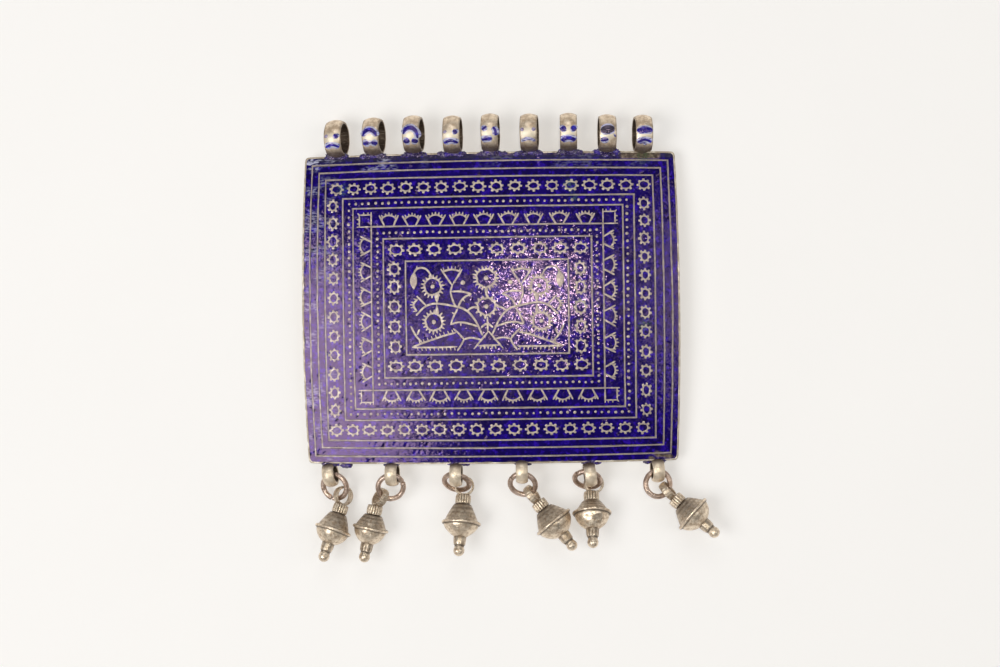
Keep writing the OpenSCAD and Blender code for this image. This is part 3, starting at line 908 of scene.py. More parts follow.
def bail_relief(along, way_round):
    """A low lens between the marks, with the strip a little lower round it."""
    lens = 1 - ramp(np.hypot(along / 1.6, (way_round + 0.55) / 1.2), 0.5, 1.0)
    return BAIL_FACE + 0.05 * lens


def mark(path, widths):
    """A spot of enamel, a little wider than charted, in the bail's own plan: X along the bore, Y round it,
    Z over its face."""
    blob = len(path) == 2
    path = curve(path, 14 if blob else 6)
    t = np.linspace(-1, 1, len(path))
    rounded = np.sqrt(np.clip(1 - np.abs(t) ** (2.6 if blob else 9), 0.05, 1))
    return stroke(path, MARK_SPREAD * spaced(widths, len(t)) * rounded, ends=(1, 1), section=MARK_SECTION)


def on_bail(points):
    """Points in a bail's own plan, wrapped round its outside."""
    along, way_round, height = points.T
    radius = BAIL_OD / 2 - BAIL_CROWN * (2 * along / BAIL_W) ** 2 + height
    angle = way_round / (BAIL_OD / 2)
    return np.stack([along, radius * np.sin(angle), radius * np.cos(angle)], -1)


def bail_enamel(i, bail, marks, enamel):
    """The enamel marks of one bail, with their looks as fields."""
    parts, rims = [], []
    looks = {"faint": [], "pale": [], "dark": []}
    for path, widths, look in marks:
        # The wider pale outline under a blue or dark mark is a painted highlight
        for grow, sink, rim in OUTLINED if look in ("blue", "dark") else PLAIN:
            points, faces = mark(path, np.atleast_1d(widths) + grow)
            points[:, 2] -= sink
            rims.append(np.full(len(points), rim))
            for name, values in looks.items():
                values.append(np.full(len(points), float(name == look and rim < 1)))
            parts.append((at_bail(on_bail(points), bail), faces))
    piece(f"bail_enamel_{i}", parts, enamel, "blue_enamel", rim=np.concatenate(rims),
          **{name: np.concatenate(values) for name, values in looks.items()})


def bails(silver, enamel):
    """Nine bent strips, dark at the foot and in the bore, and darker towards their side edges with painted
    shade in part; rubbed bright on the lens between their marks, where a highlight is also painted.
    """
    for i, (bail, marks) in enumerate(zip(BAILS, BAIL_MARKS), 1):
        rows = strip_ring(BAIL_OD, BAIL_BORE, BAIL_W, BAIL_CROWN, 100 + i, bail_relief)
        points, faces = loft(rows, closed=True)
        foot = ramp(-points[:, 1], 2.4, 3.8)
        # The lens is rubbed bright, and a highlight is painted on it
        polished = 1 - ramp(np.hypot(points[:, 0] / 1.85, (points[:, 1] + 0.55) / 1.5), 0.6, 1.15)
        polished = polished * (points[:, 2] > 2)
        # Darker towards the strip's side edges: tarnish, with painted shade
        edge = ramp(np.abs(points[:, 0]), BAIL_W / 2 - 0.3, BAIL_W / 2 - 0.05)
        recess = np.maximum.reduce([foot * 0.75, in_bore(points, BAIL_BORE), edge * 0.5])
        piece(f"bail_{i}", [(at_bail(points, bail), faces)], silver, "plate_silver", ["plate"],
              recess=recess, polish=polished)
        bail_enamel(i, bail, marks, enamel)


def lugs(silver):
    """Six bent strips, dark at the foot and in the bore."""
    for i, lug in enumerate(LUGS, 1):
        points, faces = loft(strip_ring(LUG_OD, LUG_BORE, LUG_W, LUG_CROWN, 200 + i, around=96), closed=True)
        foot = ramp(points[:, 1], 1.3, 2.6)
        # Lighter away from the foot: rubbed bright, with a painted highlight
        piece(f"lug_{i}", [(at_lug(points, lug), faces)], silver, "plate_silver", ["plate"],
              recess=np.maximum(in_bore(points, LUG_BORE), foot * 0.9), polish=0.35 * (1 - foot))


def lump(centre, radii, seed, rough=0.25, detail=1.3):
    """A lumpy run of glass or solder."""
    shape = bmesh.new()
    bmesh.ops.create_icosphere(shape, subdivisions=4, radius=1)
    points = []
    for vertex in shape.verts:
        where = vertex.co * detail + Vector((seed * 3.7, seed, 0))
        swell = 1 + rough * noise.noise(where) + rough * 0.5 * noise.noise(where * 2.7)
        points.append([c * r * swell for c, r in zip(vertex.co, radii)])
    faces = [[v.index for v in face.verts] for face in shape.faces]
    shape.free()
    return np.array(points) + centre, faces


# The bail, counted from 0, whose foot has only a small lump left
BARE_FOOT = 8
# Runs at a bail's foot. columns: x and y from the foot, half sizes along X, Y and Z
FOOT_RUNS = [(0, 0.15, 2.3, 0.8, 0.5), (-1.7, -0.2, 1.3, 0.6, 0.36), (1.7, -0.1, 1.4, 0.65, 0.4)]
FOOT_SPOTS = 3
# The middle of the run at the lower left corner
CORNER_RUN_AT = (-35.0, -37.25)


def solder_enamel():
    """Dark glass that ran over the solder at each bail's foot, at the lugs and at the lower left corner."""
    dice = np.random.default_rng(77)
    parts = []
    for i, (x, _, _) in enumerate(BAILS):
        if i == BARE_FOOT:
            centre = (x + 0.1, PLATE_H / 2 - 0.2, dome(x, PLATE_H / 2) + 0.05)
            parts.append(lump(centre, (1.0, 0.55, 0.5), i, 0.3, 2.0))
            continue
        for dx, dy, width, depth, rise in FOOT_RUNS:
            cx, cy = x + dx, PLATE_H / 2 - 0.35 + dy
            parts.append(lump((cx, cy, dome(cx, cy) - 0.1), (width, depth, rise), i * 3 + dx, 0.5, 2.0))
        for k in range(FOOT_SPOTS):
            cx, cy = x + dice.uniform(-3.4, 3.4), PLATE_H / 2 - dice.uniform(0.3, 1.0)
            size = dice.uniform(0.35, 0.7)
            radii = (size * 1.5, size, size * 0.6)
            parts.append(lump((cx, cy, dome(cx, cy) - 0.15), radii, 90 + i * 3 + k, 0.4, 1.6))
    for i, (x, _, _, _) in enumerate(LUGS):
        cy = -PLATE_H / 2 + 0.15
        parts.append(lump((x, cy, dome(x, cy) - 0.25), (1.8, 0.55, 0.35), 40 + i, 0.4, 1.8))
        cx = x + dice.uniform(-2.6, 2.6)
        parts.append(lump((cx, cy - 0.2, dome(cx, cy) - 0.45), (0.9, 0.4, 0.4), 50 + i, 0.4, 1.6))
    cx, cy = CORNER_RUN_AT
    parts.append(lump((cx, cy, dome(cx, -PLATE_H / 2) - 0.6), (1.5, 0.6, 0.5), 60, 0.35))
    return parts


RING_POINTS = 120
WIRE_POINTS = 20


def jump_ring(i, ring):
    """Round wire bent to a ring, a little uneven, with its open cut."""
    x, y, z, tip_x, tip_y, cut = ring
    around = np.linspace(0, math.radians(360 - RING_CUT), RING_POINTS)
    way = full_turn(WIRE_POINTS)
    uneven = 0.035 * wander(around * 3, around * 0, 1.5, 300 + i)
    step = 0.12 * np.exp(-((around - around[-1]) / 0.25) ** 2)
    wire = RING_WIRE / 2 * (1 - 0.03 * np.abs(wander(around * 4, around * 0, 1.3, 320 + i)))
    wire[[0, -1]] *= 0.86
    radius = RING_D / 2 + uneven[:, None] + wire[:, None] * np.cos(way)
    angle = around[:, None] + math.radians(cut + RING_CUT / 2)
    height = wire[:, None] * np.sin(way) + step[:, None]
    rows = np.stack([radius * np.cos(angle), radius * np.sin(angle), height], -1)
    points, faces = loft(rows, caps=True)
    return turned(points, x=tip_x, y=tip_y) + (x, y, z), faces


def drop_profile(rim_d, collar_at, ball_at, bowl_power):
    """From the collar to the ball's tip: distance from the rim, radius, and how deep in a groove it lies."""
    rim_r, wall = rim_d / 2, rim_d / 2 - WALL_UNDER_RIM
    top, foot = -collar_at - COLLAR_H / 2, -collar_at + COLLAR_H / 2
    collar_r = COLLAR_D / 2
    rows = [(top, 0, 0.6), (top, collar_r * 0.55, 0.7), (top + 0.02, collar_r * 0.8, 0.6)]
    for t in np.linspace(0.05, 0.95, 15):
        bulge = math.sin(math.pi * t) ** 0.3
        rows.append((top + COLLAR_H * t, collar_r * (0.86 + 0.14 * bulge), 0.5 * (1 - bulge)))
    rows += [(foot - 0.02, collar_r * 0.84, 1.0), (foot + 0.06, collar_r * 0.82, 1.0)]
    start = SOLDER_SINK / (SOLDER_SINK - foot)
    bead = RIM_BEAD / 2
    for t in np.linspace(start + 0.02, 1 - bead / (SOLDER_SINK - foot), 24):
        ridge = 0.025 * math.cos(t * 2 * math.pi * 4.5) * (1 - t) ** 0.4
        radius = collar_r * 0.89 + (wall - collar_r * 0.89) * t ** SHOULDER_POWER
        rows.append(((foot - SOLDER_SINK) * (1 - t), radius + ridge, 0.75 - 0.5 * t - ridge * 6))
    rows.append((-bead + 0.02, wall + 0.03, 1.0))
    for angle in np.radians(np.linspace(-78, 78, 13)):
        radius = rim_r - bead + bead * math.cos(angle)
        rows.append((bead * math.sin(angle), radius, 0.95 * abs(math.sin(angle)) ** 3))
    neck_at, neck_r, end = ball_at - NECK_H, NECK_D / 2, ball_at - BALL_D / 2
    first = math.asin((bead - 0.02) / neck_at)
    for angle in np.linspace(first, math.pi / 2, 32):
        radius = neck_r + (wall - neck_r) * math.cos(angle) ** bowl_power
        edges = max(0.9 * (1 - (angle - first) / 0.12), 0.7 * (angle / (math.pi / 2)) ** 14, 0.06)
        rows.append((neck_at * math.sin(angle), max(radius, neck_r), edges))
    for t in np.linspace(0.06, 0.92, 12):
        radius = neck_r - NECK_TAPER * t + 0.05 * math.sin(math.pi * t)
        rows.append((neck_at + (end - neck_at) * t, radius, 0.2 + 0.5 * (1 - t) ** 4))
    groove_r = neck_r - NECK_TAPER - GROOVE_DEPTH
    rows += [(end - 0.04, neck_r - NECK_TAPER - 0.05, 0.6), (end + 0.17, groove_r, 0.9)]
    for angle in np.linspace(math.pi - math.asin(groove_r / (BALL_D / 2)), 0, 16):
        rows.append((ball_at + BALL_D / 2 * math.cos(angle), BALL_D / 2 * math.sin(angle), 0.08))
    return np.array(rows)


CREASED_DROP = 5
# Creases in its bowl. columns: angle from the top, distance along, size, depth
CREASES = [(0.35, 1.6, 0.32, 0.32), (-0.4, 2.2, 0.22, 0.26), (0.95, 2.6, 0.25, 0.3), (-1.1, 1.3, 0.3, 0.25)]


def dents(i, along, angle, radius):
    """How far a drop's wall is pushed in."""
    push = 0.05 * ramp(wander(angle * 2.2, along, 1.1, 400 + i), 0.1, 1) * ramp(radius, 1.8, 3)
    if i == CREASED_DROP:
        bowl = ramp(along, 0.35, 0.8) * (1 - ramp(along, 3.4, 4.3))
        for at, where, size, depth in CREASES:
            away = np.hypot((angle - at) / size, (along - where) / (size * 3.2))
            push = push + depth * np.exp(-away ** 2) * bowl
        push = push + 0.06 * bowl * wander(angle * 3, along, 0.7, 450)
    return push


# Drops with a slimmer bowl, with a clearly fluted neck and with a deeply banded eyelet
SLIM_DROPS = (3,)
FLUTED_DROPS = (2, 5)
BANDED_DROPS = (2,)
DROP_POINTS = 128
EYELET_BANDS = 22
EYELET_CROWN = 0.12


def drop(i, values, material):
    """One drop: its body turned from the profile, with its collar and neck fluted, and its banded eyelet."""
    x, y, heading, tilt, turn, rim_d, collar_at, ball_at, lean = values
    profile = drop_profile(rim_d, collar_at, ball_at, BOWL_POWER + (0.5 if i in SLIM_DROPS else 0))
    around = full_turn(DROP_POINTS)
    along, radius, groove = (column[:, None] * np.ones(len(around)) for column in profile.T)
    angle = np.ones(len(profile))[:, None] * around
    in_collar = (along > -collar_at - COLLAR_H / 2 + 0.02) & (along < -collar_at + COLLAR_H / 2 - 0.02)
    flute = np.abs(np.cos(angle * FLUTES / 2)) ** 0.6
    radius = np.where(in_collar, radius * (0.88 + 0.12 * flute), radius)
    groove = np.where(in_collar, np.maximum(groove, 0.85 * (1 - flute)), groove)
    in_neck = ramp(along, ball_at - NECK_H - 0.2, ball_at - NECK_H + 0.4) * (along < ball_at - BALL_D / 2)
    ridges = np.cos(angle * 10) + 0.4 * wander(angle * 3, along * 2, 1, 460 + i)
    fluted = 0.05 if i in FLUTED_DROPS else 0.015
    radius = radius + fluted * in_neck * ridges
    groove = np.maximum(groove, 7 * fluted * in_neck * (1 - ridges))
    from_top = (angle - math.pi / 2 + math.pi) % (2 * math.pi) - math.pi
    radius = np.maximum(radius - dents(i, along, from_top, radius), 0)
    rows = np.stack([radius * np.cos(angle), radius * np.sin(angle), along], -1)
    body = loft(rows, caps=True)
    deep = 0.06 if i in BANDED_DROPS else 0.02

    def bands(along, way_round):
        between_edges = np.abs(along) < EYELET_W / 2 - 0.2
        return deep * (np.cos(way_round / EYELET_OD * 2 * EYELET_BANDS) - 1) * between_edges

    band = strip_ring(EYELET_OD, EYELET_BORE, EYELET_W, EYELET_CROWN, 500 + i, bands, around=264)
    points, faces = loft(turned(band.reshape(-1, 3), z=90).reshape(band.shape), closed=True)
    points = turned(points, z=-turn) - (0, 0, EYELET_OD / 2 - SOLDER_SINK)
    eyelet = turned(points, y=lean) - (0, 0, collar_at + COLLAR_H / 2), faces
    parts = []
    bead_mid = rim_d / 2 - RIM_BEAD / 2
    rim_at = (x, y, bead_mid * math.cos(math.radians(tilt)) + RIM_BEAD / 2)
    for points, faces in (body, eyelet):
        parts.append((turned(turned(points, x=90), x=-tilt, z=heading) + rim_at, faces))
    recess = np.concatenate([groove.ravel(), np.full(len(parts[1][0]), 0.3)])
    piece(f"bell_drop_{i}", parts, material, "drop_silver", [f"drop_{i}"], sharp=50, recess=recess)


# Materials

class Amount:
    """A number that varies over the surface: what a shader node puts out, with the usual arithmetic."""

    def __init__(self, tree, socket):
        self.tree = tree
        self.socket = socket

    def calc(self, operation, a, b):
        made = put(self.tree, "ShaderNodeMath", {0: a, 1: b}, operation=operation)
        return Amount(self.tree, made.outputs[0])

    def __add__(self, other):
        return self.calc("ADD", self, other)

    def __sub__(self, other):
        return self.calc("SUBTRACT", self, other)

    def __rsub__(self, other):
        return self.calc("SUBTRACT", other, self)

    def __mul__(self, other):
        return self.calc("MULTIPLY", self, other)

    def or_more(self, other):
        return self.calc("MAXIMUM", self, other)

    def between(self, low, high, to_low=0.0, to_high=1.0, kind="LINEAR"):
        """to_low up to low, to_high from high on, and in proportion between them."""
        made = put(self.tree, "ShaderNodeMapRange",
                   {"Value": self, "From Min": low, "From Max": high, "To Min": to_low, "To Max": to_high},
                   interpolation_type=kind)
        return Amount(self.tree, made.outputs[0])


def feed(tree, socket, value):
    """Links an amount or a node's output to a socket, or sets the socket to a plain value."""
    value = value.socket if isinstance(value, Amount) else value
    if isinstance(value, bpy.types.NodeSocket):
        tree.links.new(value, socket)
    else:
        socket.default_value = value


def put(tree, kind, inputs=(), **settings):
    """Adds a node. inputs maps a socket's name or number to what feeds it."""
    made = tree.nodes.new(kind)
    for name, value in settings.items():
        setattr(made, name, value)
    for socket, value in dict(inputs).items():
        feed(tree, made.inputs[socket], value)
    return made


def blend(share, a, b):
    """Colour a where share is 0 and b where it is 1."""
    a, b = ((*colour, 1) if isinstance(colour, tuple) else colour for colour in (a, b))
    return put(share.tree, "ShaderNodeMix", {0: share, 6: a, 7: b}, data_type="RGBA").outputs[2]


def field(tree, name):
    """What piece() stored on the mesh under this name, or 0 where it stored nothing."""
    return Amount(tree, put(tree, "ShaderNodeAttribute", attribute_name=name).outputs["Fac"])


def at_size(tree, size, stretch=(1, 1, 1), turn=0):
    """The object's coordinates, counted in steps of size millimetres."""
    where = put(tree, "ShaderNodeTexCoord").outputs["Object"]
    turned_by = put(tree, "ShaderNodeMapping", {"Vector": where, "Rotation": (0, 0, turn),
                                                "Scale": tuple(s / MM for s in stretch)}).outputs[0]
    per_step = put(tree, "ShaderNodeMath", {0: 1.0, 1: size}, operation="DIVIDE").outputs[0]
    return put(tree, "ShaderNodeVectorMath", {0: turned_by, "Scale": per_step}, operation="SCALE").outputs[0]


def grain(tree, size, stretch=(1, 1, 1), turn=0, **detail):
    """Noise, drawn out along the axes whose stretch is under 1."""
    where = at_size(tree, size, stretch, turn)
    made = put(tree, "ShaderNodeTexNoise", {"Vector": where, "Scale": 1, **detail})
    return Amount(tree, made.outputs["Fac"])


def cells(tree, size):
    """Cells about size across, each with a colour of its own and the distance from its middle."""
    where = at_size(tree, size)
    return put(tree, "ShaderNodeTexVoronoi", {"Vector": where, "Scale": 1, "Randomness": 1}).outputs


def group(name, inputs, outputs, build):
    """A shader node group with float inputs and outputs; build(tree, start, end) fills it."""
    tree = bpy.data.node_groups.new(name, "ShaderNodeTree")
    for socket, value in inputs.items():
        tree.interface.new_socket(socket, in_out="INPUT", socket_type="NodeSocketFloat").default_value = value
    for socket in outputs:
        tree.interface.new_socket(socket, in_out="OUTPUT", socket_type="NodeSocketFloat")
    entry = tree.nodes.new("NodeGroupInput").outputs
    way_out = tree.nodes.new("NodeGroupOutput").inputs
    build(tree, {socket: Amount(tree, entry[socket]) for socket in inputs},
          lambda socket, value: feed(tree, way_out[socket], value))
    return tree


def build_mottle(tree, start, end):
    """Cloudy patches."""
    cloud = grain(tree, start["Size"], Detail=5, Roughness=0.62)
    low, high = start["Middle"] - start["Softness"], start["Middle"] + start["Softness"]
    end("Mask", cloud.between(low, high, kind="SMOOTHSTEP"))
    end("Cloud", cloud)


def build_scratches(tree, start, end):
    """Fine scratches in three directions."""
    total = None
    for turn, length in ((0.3, 0.05), (1.45, 0.04), (2.5, 0.06)):
        lines = grain(tree, start["Size"], (length, 1, 1), turn, Detail=2, Roughness=0.5).between(0.63, 0.72)
        total = lines if total is None else total.or_more(lines)
    end("Mask", total)


def build_pinholes(tree, start, end):
    """Small round pits, one in each cell of a share of them, with a radius of up to a third of a cell."""
    spots = cells(tree, start["Size"])
    chosen = Amount(tree, put(tree, "ShaderNodeSeparateColor", {"Color": spots["Color"]}).outputs[0])
    radius = chosen.between(1.0 - start["Share"], 1.0, 0.0, 0.34)
    depth = Amount(tree, spots["Distance"]).between(radius * 0.45, radius + 0.001, 1.0, 0.0)
    end("Mask", depth * radius.between(0.02, 0.06))


MOTTLE = group("mottle", {"Size": 2.0, "Middle": 0.5, "Softness": 0.1}, ["Mask", "Cloud"], build_mottle)
SCRATCHES = group("fine_scratches", {"Size": 0.3}, ["Mask"], build_scratches)
PINHOLES = group("pinholes", {"Size": 0.8, "Share": 0.3}, ["Mask"], build_pinholes)


def use(tree, made_group, output="Mask", **inputs):
    """One output of a node group, placed in a material with its own values."""
    return Amount(tree, put(tree, "ShaderNodeGroup", inputs, node_tree=made_group).outputs[output])


def material(name):
    made = bpy.data.materials.new(name)
    made.use_nodes = True
    return made, made.node_tree


def set_shader(made, inputs):
    """Feeds the sockets of the material's own shader."""
    for socket, value in inputs.items():
        feed(made.node_tree, made.node_tree.nodes["Principled BSDF"].inputs[socket], value)
    return made


def bumped(height, distance, **more):
    """The normal of a surface with this height, where a height of 1 is distance in millimetres."""
    inputs = {"Height": height, "Distance": distance * MM, **more}
    return put(height.tree, "ShaderNodeBump", inputs).outputs[0]


FACET_SIZES = (0.36, 0.2)


def facets(tree, tilt):
    """The surface's normal, tilted at random in small patches, so that a reflection breaks into sparkles."""
    normal = put(tree, "ShaderNodeNewGeometry").outputs["Normal"]
    for size in FACET_SIZES:
        aside = put(tree, "ShaderNodeVectorMath", {0: cells(tree, size)["Color"], 1: (0.5, 0.5, 0.5)},
                    operation="SUBTRACT").outputs[0]
        aside = put(tree, "ShaderNodeVectorMath", {0: aside, "Scale": 2 * tilt}, operation="SCALE").outputs[0]
        normal = put(tree, "ShaderNodeVectorMath", {0: normal, 1: aside}, operation="ADD").outputs[0]
    return put(tree, "ShaderNodeVectorMath", {0: normal}, operation="NORMALIZE").outputs[0]


GREEN_STAIN = (0.10, 0.20, 0.12)
SILVER_STAIN = (0.20, 0.30, 0.20)
# Pale colour for the painted reflection of the window, the painted highlight round the bails' marks, and the
# bails' pale marks
PALE_MARKS_AND_SHEEN = (0.58, 0.59, 0.76)
# Colour of silver rubbed bright, with a painted highlight
RUBBED_AND_HIGHLIT = (0.82, 0.73, 0.58)


def blue_enamel(name, dark, deep, bright, patches, rough, ripple, tilt, dirt, coat, milky=0.0):
    """Glossy blue glass: cloudy inside, rippled and pitted on its face, silver where it has come off."""
    made, tree = material(name)
    mottle = lambda size, middle, softness: use(tree, MOTTLE, Size=size, Middle=middle, Softness=softness)
    cloud = lambda size: use(tree, MOTTLE, "Cloud", Size=size)

    # Blues in the depth of the glass
    fine = mottle(0.42, 0.52, 0.12)
    colour = blend(mottle(3.4, 0.5, 0.22), dark, deep)
    colour = blend(mottle(1.3, patches, 0.07) * fine.between(0, 1, 1, 0.35), colour, bright)

    # Dirt in pinholes and pits, green stain, milky and faint glass, a darker band along the top edge and a
    # dark mark on one bail, and pale flecks: a painted reflection of the window on the plate, the bails' pale
    # marks, and a painted highlight round their blue marks
    holes = use(tree, PINHOLES, Size=1.0, Share=0.25).or_more(use(tree, PINHOLES, Size=0.42, Share=0.2))
    colour = blend((holes * dirt).or_more(field(tree, "pit") * 0.8), colour, (0.005, 0.003, 0.008))
    green = field(tree, "stain") * mottle(0.7, 0.5, 0.08)
    colour = blend(green * 0.4, colour, GREEN_STAIN)
    milk = blend(fine, (0.10, 0.12, 0.16), (0.42, 0.42, 0.50))
    colour = blend(mottle(0.9, 0.55, 0.07) * milky, colour, milk)
    cloudy = cloud(0.5)
    colour = blend(field(tree, "faint") * cloudy.between(0.35, 0.6, 0.5, 1), colour, (0.17, 0.10, 0.16))
    colour = blend(field(tree, "dark"), colour, blend(cloudy, (0.010, 0.008, 0.035), (0.055, 0.055, 0.06)))
    flecks = grain(tree, 0.4, (0.28, 1, 1), Detail=3)
    # Pale flecks: the painted reflection of the window on the plate, and the bails' pale marks
    in_streaks = field(tree, "pale") * flecks.between(0.44, 0.6, 0.0, 0.9)
    # The rim field paints a highlight round the bails' marks, in pale flecks
    round_marks = field(tree, "rim") * flecks.between(0.4, 0.5, 0.15, 0.9)
    colour = blend(in_streaks.or_more(round_marks), colour, PALE_MARKS_AND_SHEEN)

    # Dull silver where the glass has come off
    bare = field(tree, "bare")
    metal = blend(mottle(0.8, 0.48, 0.12), (0.26, 0.20, 0.14), (0.08, 0.06, 0.045))
    metal = blend(green * 0.8, metal, (0.12, 0.17, 0.08))
    colour = blend(bare, colour, metal)

    # Waves, ripples, grain, streaks and pinholes of the face
    streaks = grain(tree, 0.5, (1, 0.25, 1), Detail=2)
    height = cloud(1.5) * 0.9 + cloud(0.42) * 0.8 + cloud(0.24) * 0.5 + streaks * 0.7 - holes * 1.8
    face = bumped(height, ripple, Normal=facets(tree, tilt))
    return set_shader(made, {
        "Base Color": colour, "Metallic": bare * 0.6,
        "Roughness": fine.between(0, 1, rough, rough + 0.04) + bare * 0.2, "Normal": face,
        "IOR": 1.52, "Specular IOR Level": 0.65, "Specular Tint": (0.97, 0.64, 1, 1),
        "Coat Weight": coat, "Coat Roughness": 0.05, "Coat Normal": face,
    })


def worn_silver(name, bright, dull, stain, rough, patch, cover, groove, metal, hammered=0.06):
    """Silver with a film of tarnish: thick in its grooves, thin where it is handled, and lighter there with a
    painted highlight.
    """
    made, tree = material(name)
    film = use(tree, MOTTLE, Size=patch, Middle=cover, Softness=0.13)
    fine = use(tree, MOTTLE, Size=patch * 0.22, Middle=0.55, Softness=0.12)
    scratches = use(tree, SCRATCHES, Size=0.22)
    pits = use(tree, PINHOLES, Size=0.6, Share=0.25)
    # The recess field: tarnish in grooves, bores and feet; on the bails' side edges also painted shade, and
    # on the ornaments' flanks it only darkens them
    recess = Amount(tree, put(tree, "ShaderNodeClamp", {0: field(tree, "recess") * groove}).outputs[0])
    # Where the silver is rubbed bright and a highlight is painted
    polish = field(tree, "polish")
    covered = film.or_more(fine * 0.6) * (1.0 - polish * 0.85)
    colour = blend(covered, bright, dull)
    colour = blend(polish * 0.9, colour, RUBBED_AND_HIGHLIT)
    colour = blend(recess, colour, stain)
    colour = blend(scratches * 0.25, colour, bright)
    colour = blend(field(tree, "stain") * 0.3, colour, SILVER_STAIN)
    height = use(tree, MOTTLE, "Cloud", Size=0.7) - (pits + scratches) * 0.35
    return set_shader(made, {
        "Base Color": colour,
        "Metallic": (1.0 - covered * 0.3) * metal * (1.0 - polish * 0.45),
        "Roughness": covered * 0.12 + rough + recess * 0.15 + polish * 0.16,
        "Normal": bumped(height * (1.0 - polish * 0.75), hammered),
    })


GLASS = blue_enamel("ultramarine_enamel", dark=(0.0025, 0.0003, 0.05), deep=(0.006, 0.0008, 0.14),
                    bright=(0.026, 0.005, 0.38), patches=0.57, rough=0.10, ripple=0.006, tilt=0.044,
                    dirt=0.85, coat=0.0)
RUN_GLASS = blue_enamel("dark_run_enamel", dark=(0.006, 0.003, 0.03), deep=(0.016, 0.007, 0.11),
                        bright=(0.03, 0.01, 0.35), patches=0.57, rough=0.08, ripple=0.05, tilt=0.2,
                        dirt=0.6, coat=0.8, milky=0.3)
MARK_GLASS = blue_enamel("mark_enamel", dark=(0.005, 0.003, 0.10), deep=(0.010, 0.006, 0.23),
                         bright=(0.03, 0.03, 0.52), patches=0.56, rough=0.12, ripple=0.06, tilt=0.08,
                         dirt=0.3, coat=0.3)
FRAME_SILVER = worn_silver("frame_silver", (0.48, 0.41, 0.37), (0.33, 0.27, 0.25), (0.09, 0.055, 0.09),
                           rough=0.42, patch=1.2, cover=0.5, groove=0.9, metal=0.75)
FLOWER_SILVER = worn_silver("ornament_silver", (0.58, 0.50, 0.43), (0.38, 0.31, 0.28), (0.10, 0.065, 0.08),
                            rough=0.38, patch=0.8, cover=0.5, groove=0.9, metal=0.9)
PLATE_SILVER = worn_silver("plate_silver", (0.80, 0.72, 0.60), (0.45, 0.37, 0.28), (0.12, 0.09, 0.06),
                           rough=0.36, patch=2.4, cover=0.45, groove=1.0, metal=0.8)
BAIL_SILVER = worn_silver("bail_silver", (0.93, 0.78, 0.60), (0.56, 0.42, 0.29), (0.05, 0.03, 0.02),
                          rough=0.30, patch=1.1, cover=0.5, groove=0.95, metal=0.9)
RING_SILVER = worn_silver("ring_silver", (0.74, 0.58, 0.48), (0.36, 0.25, 0.19), (0.10, 0.065, 0.05),
                          rough=0.25, patch=1.4, cover=0.5, groove=1.0, metal=1.0)
DROP_SILVER = worn_silver("drop_silver", (1.0, 0.86, 0.68), (0.52, 0.39, 0.27), (0.06, 0.04, 0.028),
                          rough=0.27, patch=0.8, cover=0.52, groove=1.0, metal=1.0, hammered=0.07)

# Building the pendant
piece("plate_body", [plate_body()], PLATE_SILVER, "plate_silver", ["plate"], merge=True, sharp=40)
ornament("frame_lines", frame_lines(), FRAME_SILVER)
ornament("outer_flowers", flower_band(OUTER_FLOWERS), FLOWER_SILVER)
ornament("inner_flowers", flower_band(INNER_FLOWERS), FLOWER_SILVER)
ornament("outer_dots", dot_band(*OUTER_DOTS), FLOWER_SILVER)
ornament("inner_dots", dot_band(*INNER_DOTS), FLOWER_SILVER)
ornament("cups", cup_band(), FLOWER_SILVER)
ornament("corner_squares", corner_squares(), FLOWER_SILVER)
ornament("flowering_plant", flowering_plant(), FLOWER_SILVER)
enamel_pieces(GLASS)
bails(BAIL_SILVER, MARK_GLASS)
lugs(BAIL_SILVER)
piece("solder_enamel", solder_enamel(), RUN_GLASS, "blue_enamel", sharp=80)
for number, values in enumerate(RINGS, 1):
    piece(f"wire_ring_{number}", [jump_ring(number, values)], RING_SILVER, "ring_silver",
          [f"jump_ring_{number}"], sharp=50)
for number, values in enumerate(DROPS, 1):
    drop(number, values, DROP_SILVER)


# The surface and the lights, in metres

TABLE_R = 1.7
COVE_R = 0.8
TABLE_POINTS = 96


def table_top():
    """The pale surface under the pendant, which curves up far round it on every side."""
    made, tree = material("table_top")
    tone = use(tree, MOTTLE, "Cloud", Size=60)
    set_shader(made, {"Base Color": blend(tone, (0.58, 0.57, 0.555), (0.61, 0.60, 0.585)), "Roughness": 0.75,
                      "Emission Color": (1, 0.974, 0.952, 1), "Emission Strength": 0.39})
    profile = [(0, 0), (TABLE_R * 0.5, 0), (TABLE_R * 0.97, 0)]
    for rise in np.radians(np.linspace(3, 81, 14)):
        profile.append((TABLE_R + COVE_R * math.sin(rise), COVE_R * (1 - math.cos(rise))))
    around = full_turn(TABLE_POINTS)
    direction = np.stack([np.cos(around), np.sin(around)], -1)
    points, faces = loft(np.array([raised(r * direction, h) for r, h in profile]))
    mesh = bpy.data.meshes.new("table_top")
    mesh.from_pydata(points.tolist(), [], faces)
    mesh.shade_smooth()
    mesh.materials.append(made)
    floor = bpy.data.objects.new("table_top", mesh)
    bpy.context.scene.collection.objects.link(floor)
    floor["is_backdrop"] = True


def soft_light(name, at, size, radiance, colour=(1, 1, 1), toward=(0, 0, 0)):
    """A rectangular light of even radiance that faces a point."""
    lamp = bpy.data.lights.new(name, "AREA")
    lamp.shape = "RECTANGLE"
    lamp.size, lamp.size_y = size
    lamp.energy = radiance * math.pi * size[0] * size[1]
    lamp.color = colour
    made = bpy.data.objects.new(name, lamp)
    made.location = at
    made.rotation_mode = "QUATERNION"
    made.rotation_quaternion = (Vector(toward) - Vector(at)).to_track_quat("-Z", "Y")
    bpy.context.scene.collection.objects.link(made)


table_top()
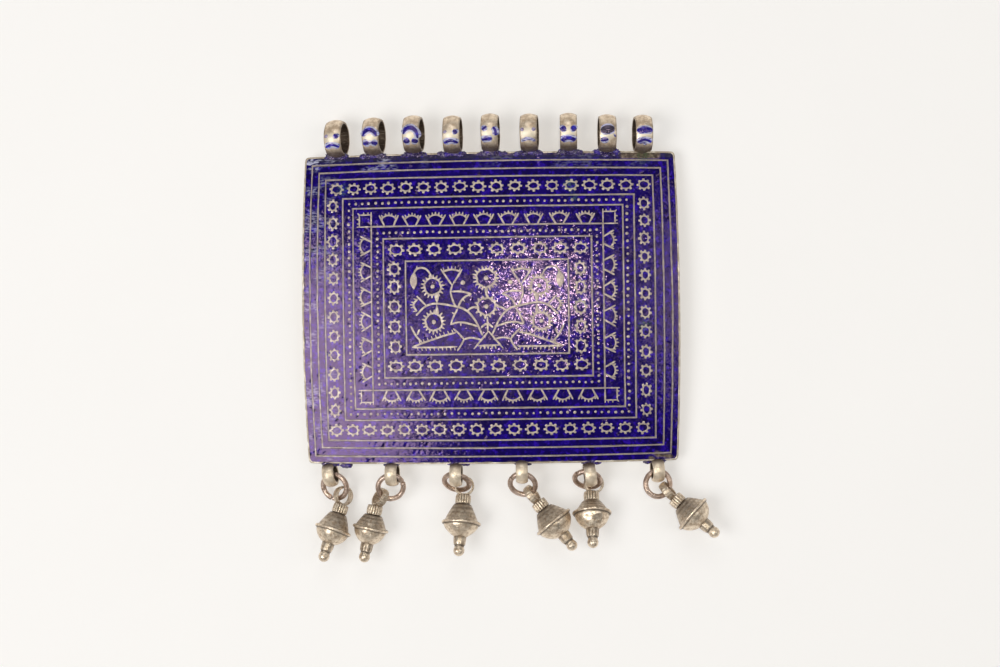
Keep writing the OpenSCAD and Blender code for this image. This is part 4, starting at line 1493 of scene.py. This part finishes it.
# Each window's place and radiance follow the reflections in the domed glass
soft_light("left_window", (-0.55, -0.18, 0.85), (0.67, 0.52), 4.6)
soft_light("window_haze", (-0.145, -0.055, 0.86), (0.25, 0.36), 0.6)
soft_light("window_edge", (-0.185, -0.055, 0.85), (0.17, 0.28), 0.8)
soft_light("right_window", (0.72, 0.05, 0.80), (0.5, 0.9), 1.5)
soft_light("far_window", (0.0, 0.85, 0.85), (0.9, 0.6), 1.6)
soft_light("near_window", (0.1, -0.95, 0.8), (0.9, 0.5), 0.8)
soft_light("high_lamp", (0.060, 0.047, 0.80), (0.045, 0.045), 145, (1, 0.96, 0.80), (0.01, 0, 0))

world = bpy.data.worlds.new("room")
bpy.context.scene.world = world
world.use_nodes = True
background = world.node_tree.nodes["Background"].inputs
background["Color"].default_value = (0.95, 0.96, 1.0, 1)
background["Strength"].default_value = 0.06

# The camera, in millimetres: it stands almost straight above, a little to the right, and is turned slightly
CAMERA_FOCUS = (2.2, -6.1, 5.0)
CAMERA_FAR = 476
CAMERA_TILT = math.radians(3)
CAMERA_ROLL = math.radians(0.7)
LENS_MM = 72
SENSOR_MM = 36

camera_data = bpy.data.cameras.new("camera")
camera_data.lens = LENS_MM
camera_data.sensor_width = SENSOR_MM
camera_data.clip_start = 0.01
camera = bpy.data.objects.new("camera", camera_data)
right = Vector((math.cos(CAMERA_TILT), 0, -math.sin(CAMERA_TILT)))
up = Vector((0, 1, 0))
back = right.cross(up)
image_right = right * math.cos(CAMERA_ROLL) - up * math.sin(CAMERA_ROLL)
image_up = right * math.sin(CAMERA_ROLL) + up * math.cos(CAMERA_ROLL)
turn = Matrix((image_right, image_up, back)).transposed()
focus = Vector(place(CAMERA_FOCUS))
camera.matrix_world = Matrix.Translation(focus + back * CAMERA_FAR * MM) @ turn.to_4x4()
bpy.context.scene.collection.objects.link(camera)
bpy.context.scene.camera = camera
bpy.context.scene.view_settings.view_transform = "Standard"

# The boxes of the solids and of the dressed pendant, to compare
boxes = {"cad": CAD_BOX, "visual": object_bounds()}
{name: [list(corner) for corner in box] for name, box in boxes.items()}
